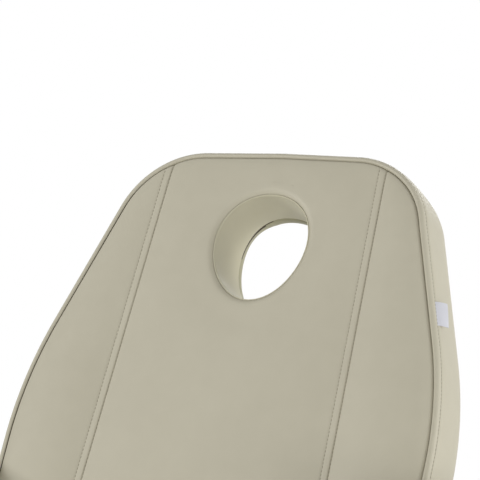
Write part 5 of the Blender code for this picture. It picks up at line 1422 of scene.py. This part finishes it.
# %% Feet, control box and end caps
THREADS, THREAD_START, THREAD_PITCH, STUD_START = 6, 0.0225, 0.0015, 0.016
LID, GROOVE, GROOVE_OUT = 0.0150, 0.0013, 0.0005                # groove below the top, its height, how far it shows
LID_SCREW, SCREW_IN, SCREW_SUNK = (0.0036, 0.0016), 0.012, 0.0002
VENTS, VENT_PITCH, VENT_SIZE = 9, 0.0085, (0.0028, 0.036, 0.0008)
PLUGS, PLUG_PITCH, PLUG_BELOW, PLUG_OUT = 4, 0.038, 0.004, 0.0010
BLADES, BLADE_SIZE, BLADE_IN = ((-0.0075, -0.0025), (0.0, 0.0025), (0.0075, -0.0025)), (0.0020, 0.0030, 0.0055), 0.0014
CAP_THICK, CAP_IN, CAP_OUT, CAP_NEAR = 0.0036, 0.0008, 0.0008, 0.003
for node in sorted(n for n in nodes if n.startswith("foot_")):
    low, high, (x, y, _) = spans(node)
    pieces = [shaped("round", (0.0258, 0.0100), (x, y, 0.0050), "Z", 0.0022, look=RUBBER),           # sole
              shaped("cone", (0.0242, 0.0120, 0.0120), (x, y, 0.0158), "Z", 0.0012, look=RUBBER),    # neck
              shaped("round", (0.0060, high.z - STUD_START), (x, y, (high.z + STUD_START) / 2), "Z", 0.0, look=STEEL),
              shaped("round", (0.0112, 0.0065), (x, y, 0.0364), "Z", 0.0006, 6, STEEL),              # nut
              shaped("round", (0.0128, 0.0012), (x, y, 0.0324), "Z", 0.0004, look=STEEL)]            # washer
    pieces += [shaped("round", (0.0064, 0.0007), (x, y, THREAD_START + THREAD_PITCH * k), "Z", 0.0002, 24, STEEL)
               for k in range(THREADS)]
    finished(node, pieces)

low, high, centre = spans("control_box")
size = high - low
pieces = [eased("control_box", 0.0022, CASE), eased("control_box", 0.0004, RUBBER)]
pieces[1].data.transform(Matrix.Translation((centre.x, centre.y, high.z - LID))
                         @ Matrix.Diagonal((1 + GROOVE_OUT / size.x, 1 + GROOVE_OUT / size.y, GROOVE / size.z, 1.0))
                         @ Matrix.Translation(-centre))
for x in (low.x + SCREW_IN, high.x - SCREW_IN):
    for y in (low.y + SCREW_IN, high.y - SCREW_IN):
        pieces.append(socket_head(*LID_SCREW, (x, y, high.z - SCREW_SUNK), (0, 0, 1)))
for k in range(VENTS):
    spot = (centre.x + VENT_PITCH * (k - (VENTS - 1) / 2), centre.y, high.z)
    pieces.append(shaped("block", VENT_SIZE, spot, bevel=0.0003, look=RUBBER))
for k in range(PLUGS):
    spot = (centre.x + PLUG_PITCH * (k - (PLUGS - 1) / 2), low.y - PLUG_OUT, centre.z - PLUG_BELOW)
    pieces.append(shaped("round", (0.0100, 0.0044), spot, "Y", 0.0010))
    pieces.append(shaped("round", (0.0068, 0.0050), spot, "Y", 0.0004, look=RUBBER))
finished("control_box", pieces)

low, high, centre = spans("mains_inlet")
pieces = [eased("mains_inlet", 0.0010, RUBBER)]
for across, up in BLADES:
    pieces.append(shaped("block", BLADE_SIZE, (centre.x + across, low.y + BLADE_IN, centre.z + up), bevel=0.0004,
                         look=STEEL))
finished("mains_inlet", pieces)

for kind, matrix, ends in (("base_rail_", Matrix(), (-1, 1)), ("back_tube_", back.matrix, (1,)),
                           ("leg_tube_", leg.matrix, (-1,))):
    for node in (kind + "left", kind + "right"):
        points = node_points(node, matrix)
        pieces = []
        for sign in ends:
            far = points[:, 1].max() if sign > 0 else points[:, 1].min()
            near = points[np.abs(points[:, 1] - far) < CAP_NEAR]
            low, high = near.min(0), near.max(0)
            pieces.append(shaped("block", (high[0] - low[0] - CAP_IN, CAP_THICK, high[2] - low[2] - CAP_IN),
                                 ((low[0] + high[0]) / 2, far + sign * CAP_OUT, (low[2] + high[2]) / 2),
                                 bevel=0.0014, look=RUBBER))
            pieces[-1].data.transform(matrix)
        joined(node + "_caps", pieces, nodes[node]["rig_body"])
print("vents", VENTS, "sockets", PLUGS)
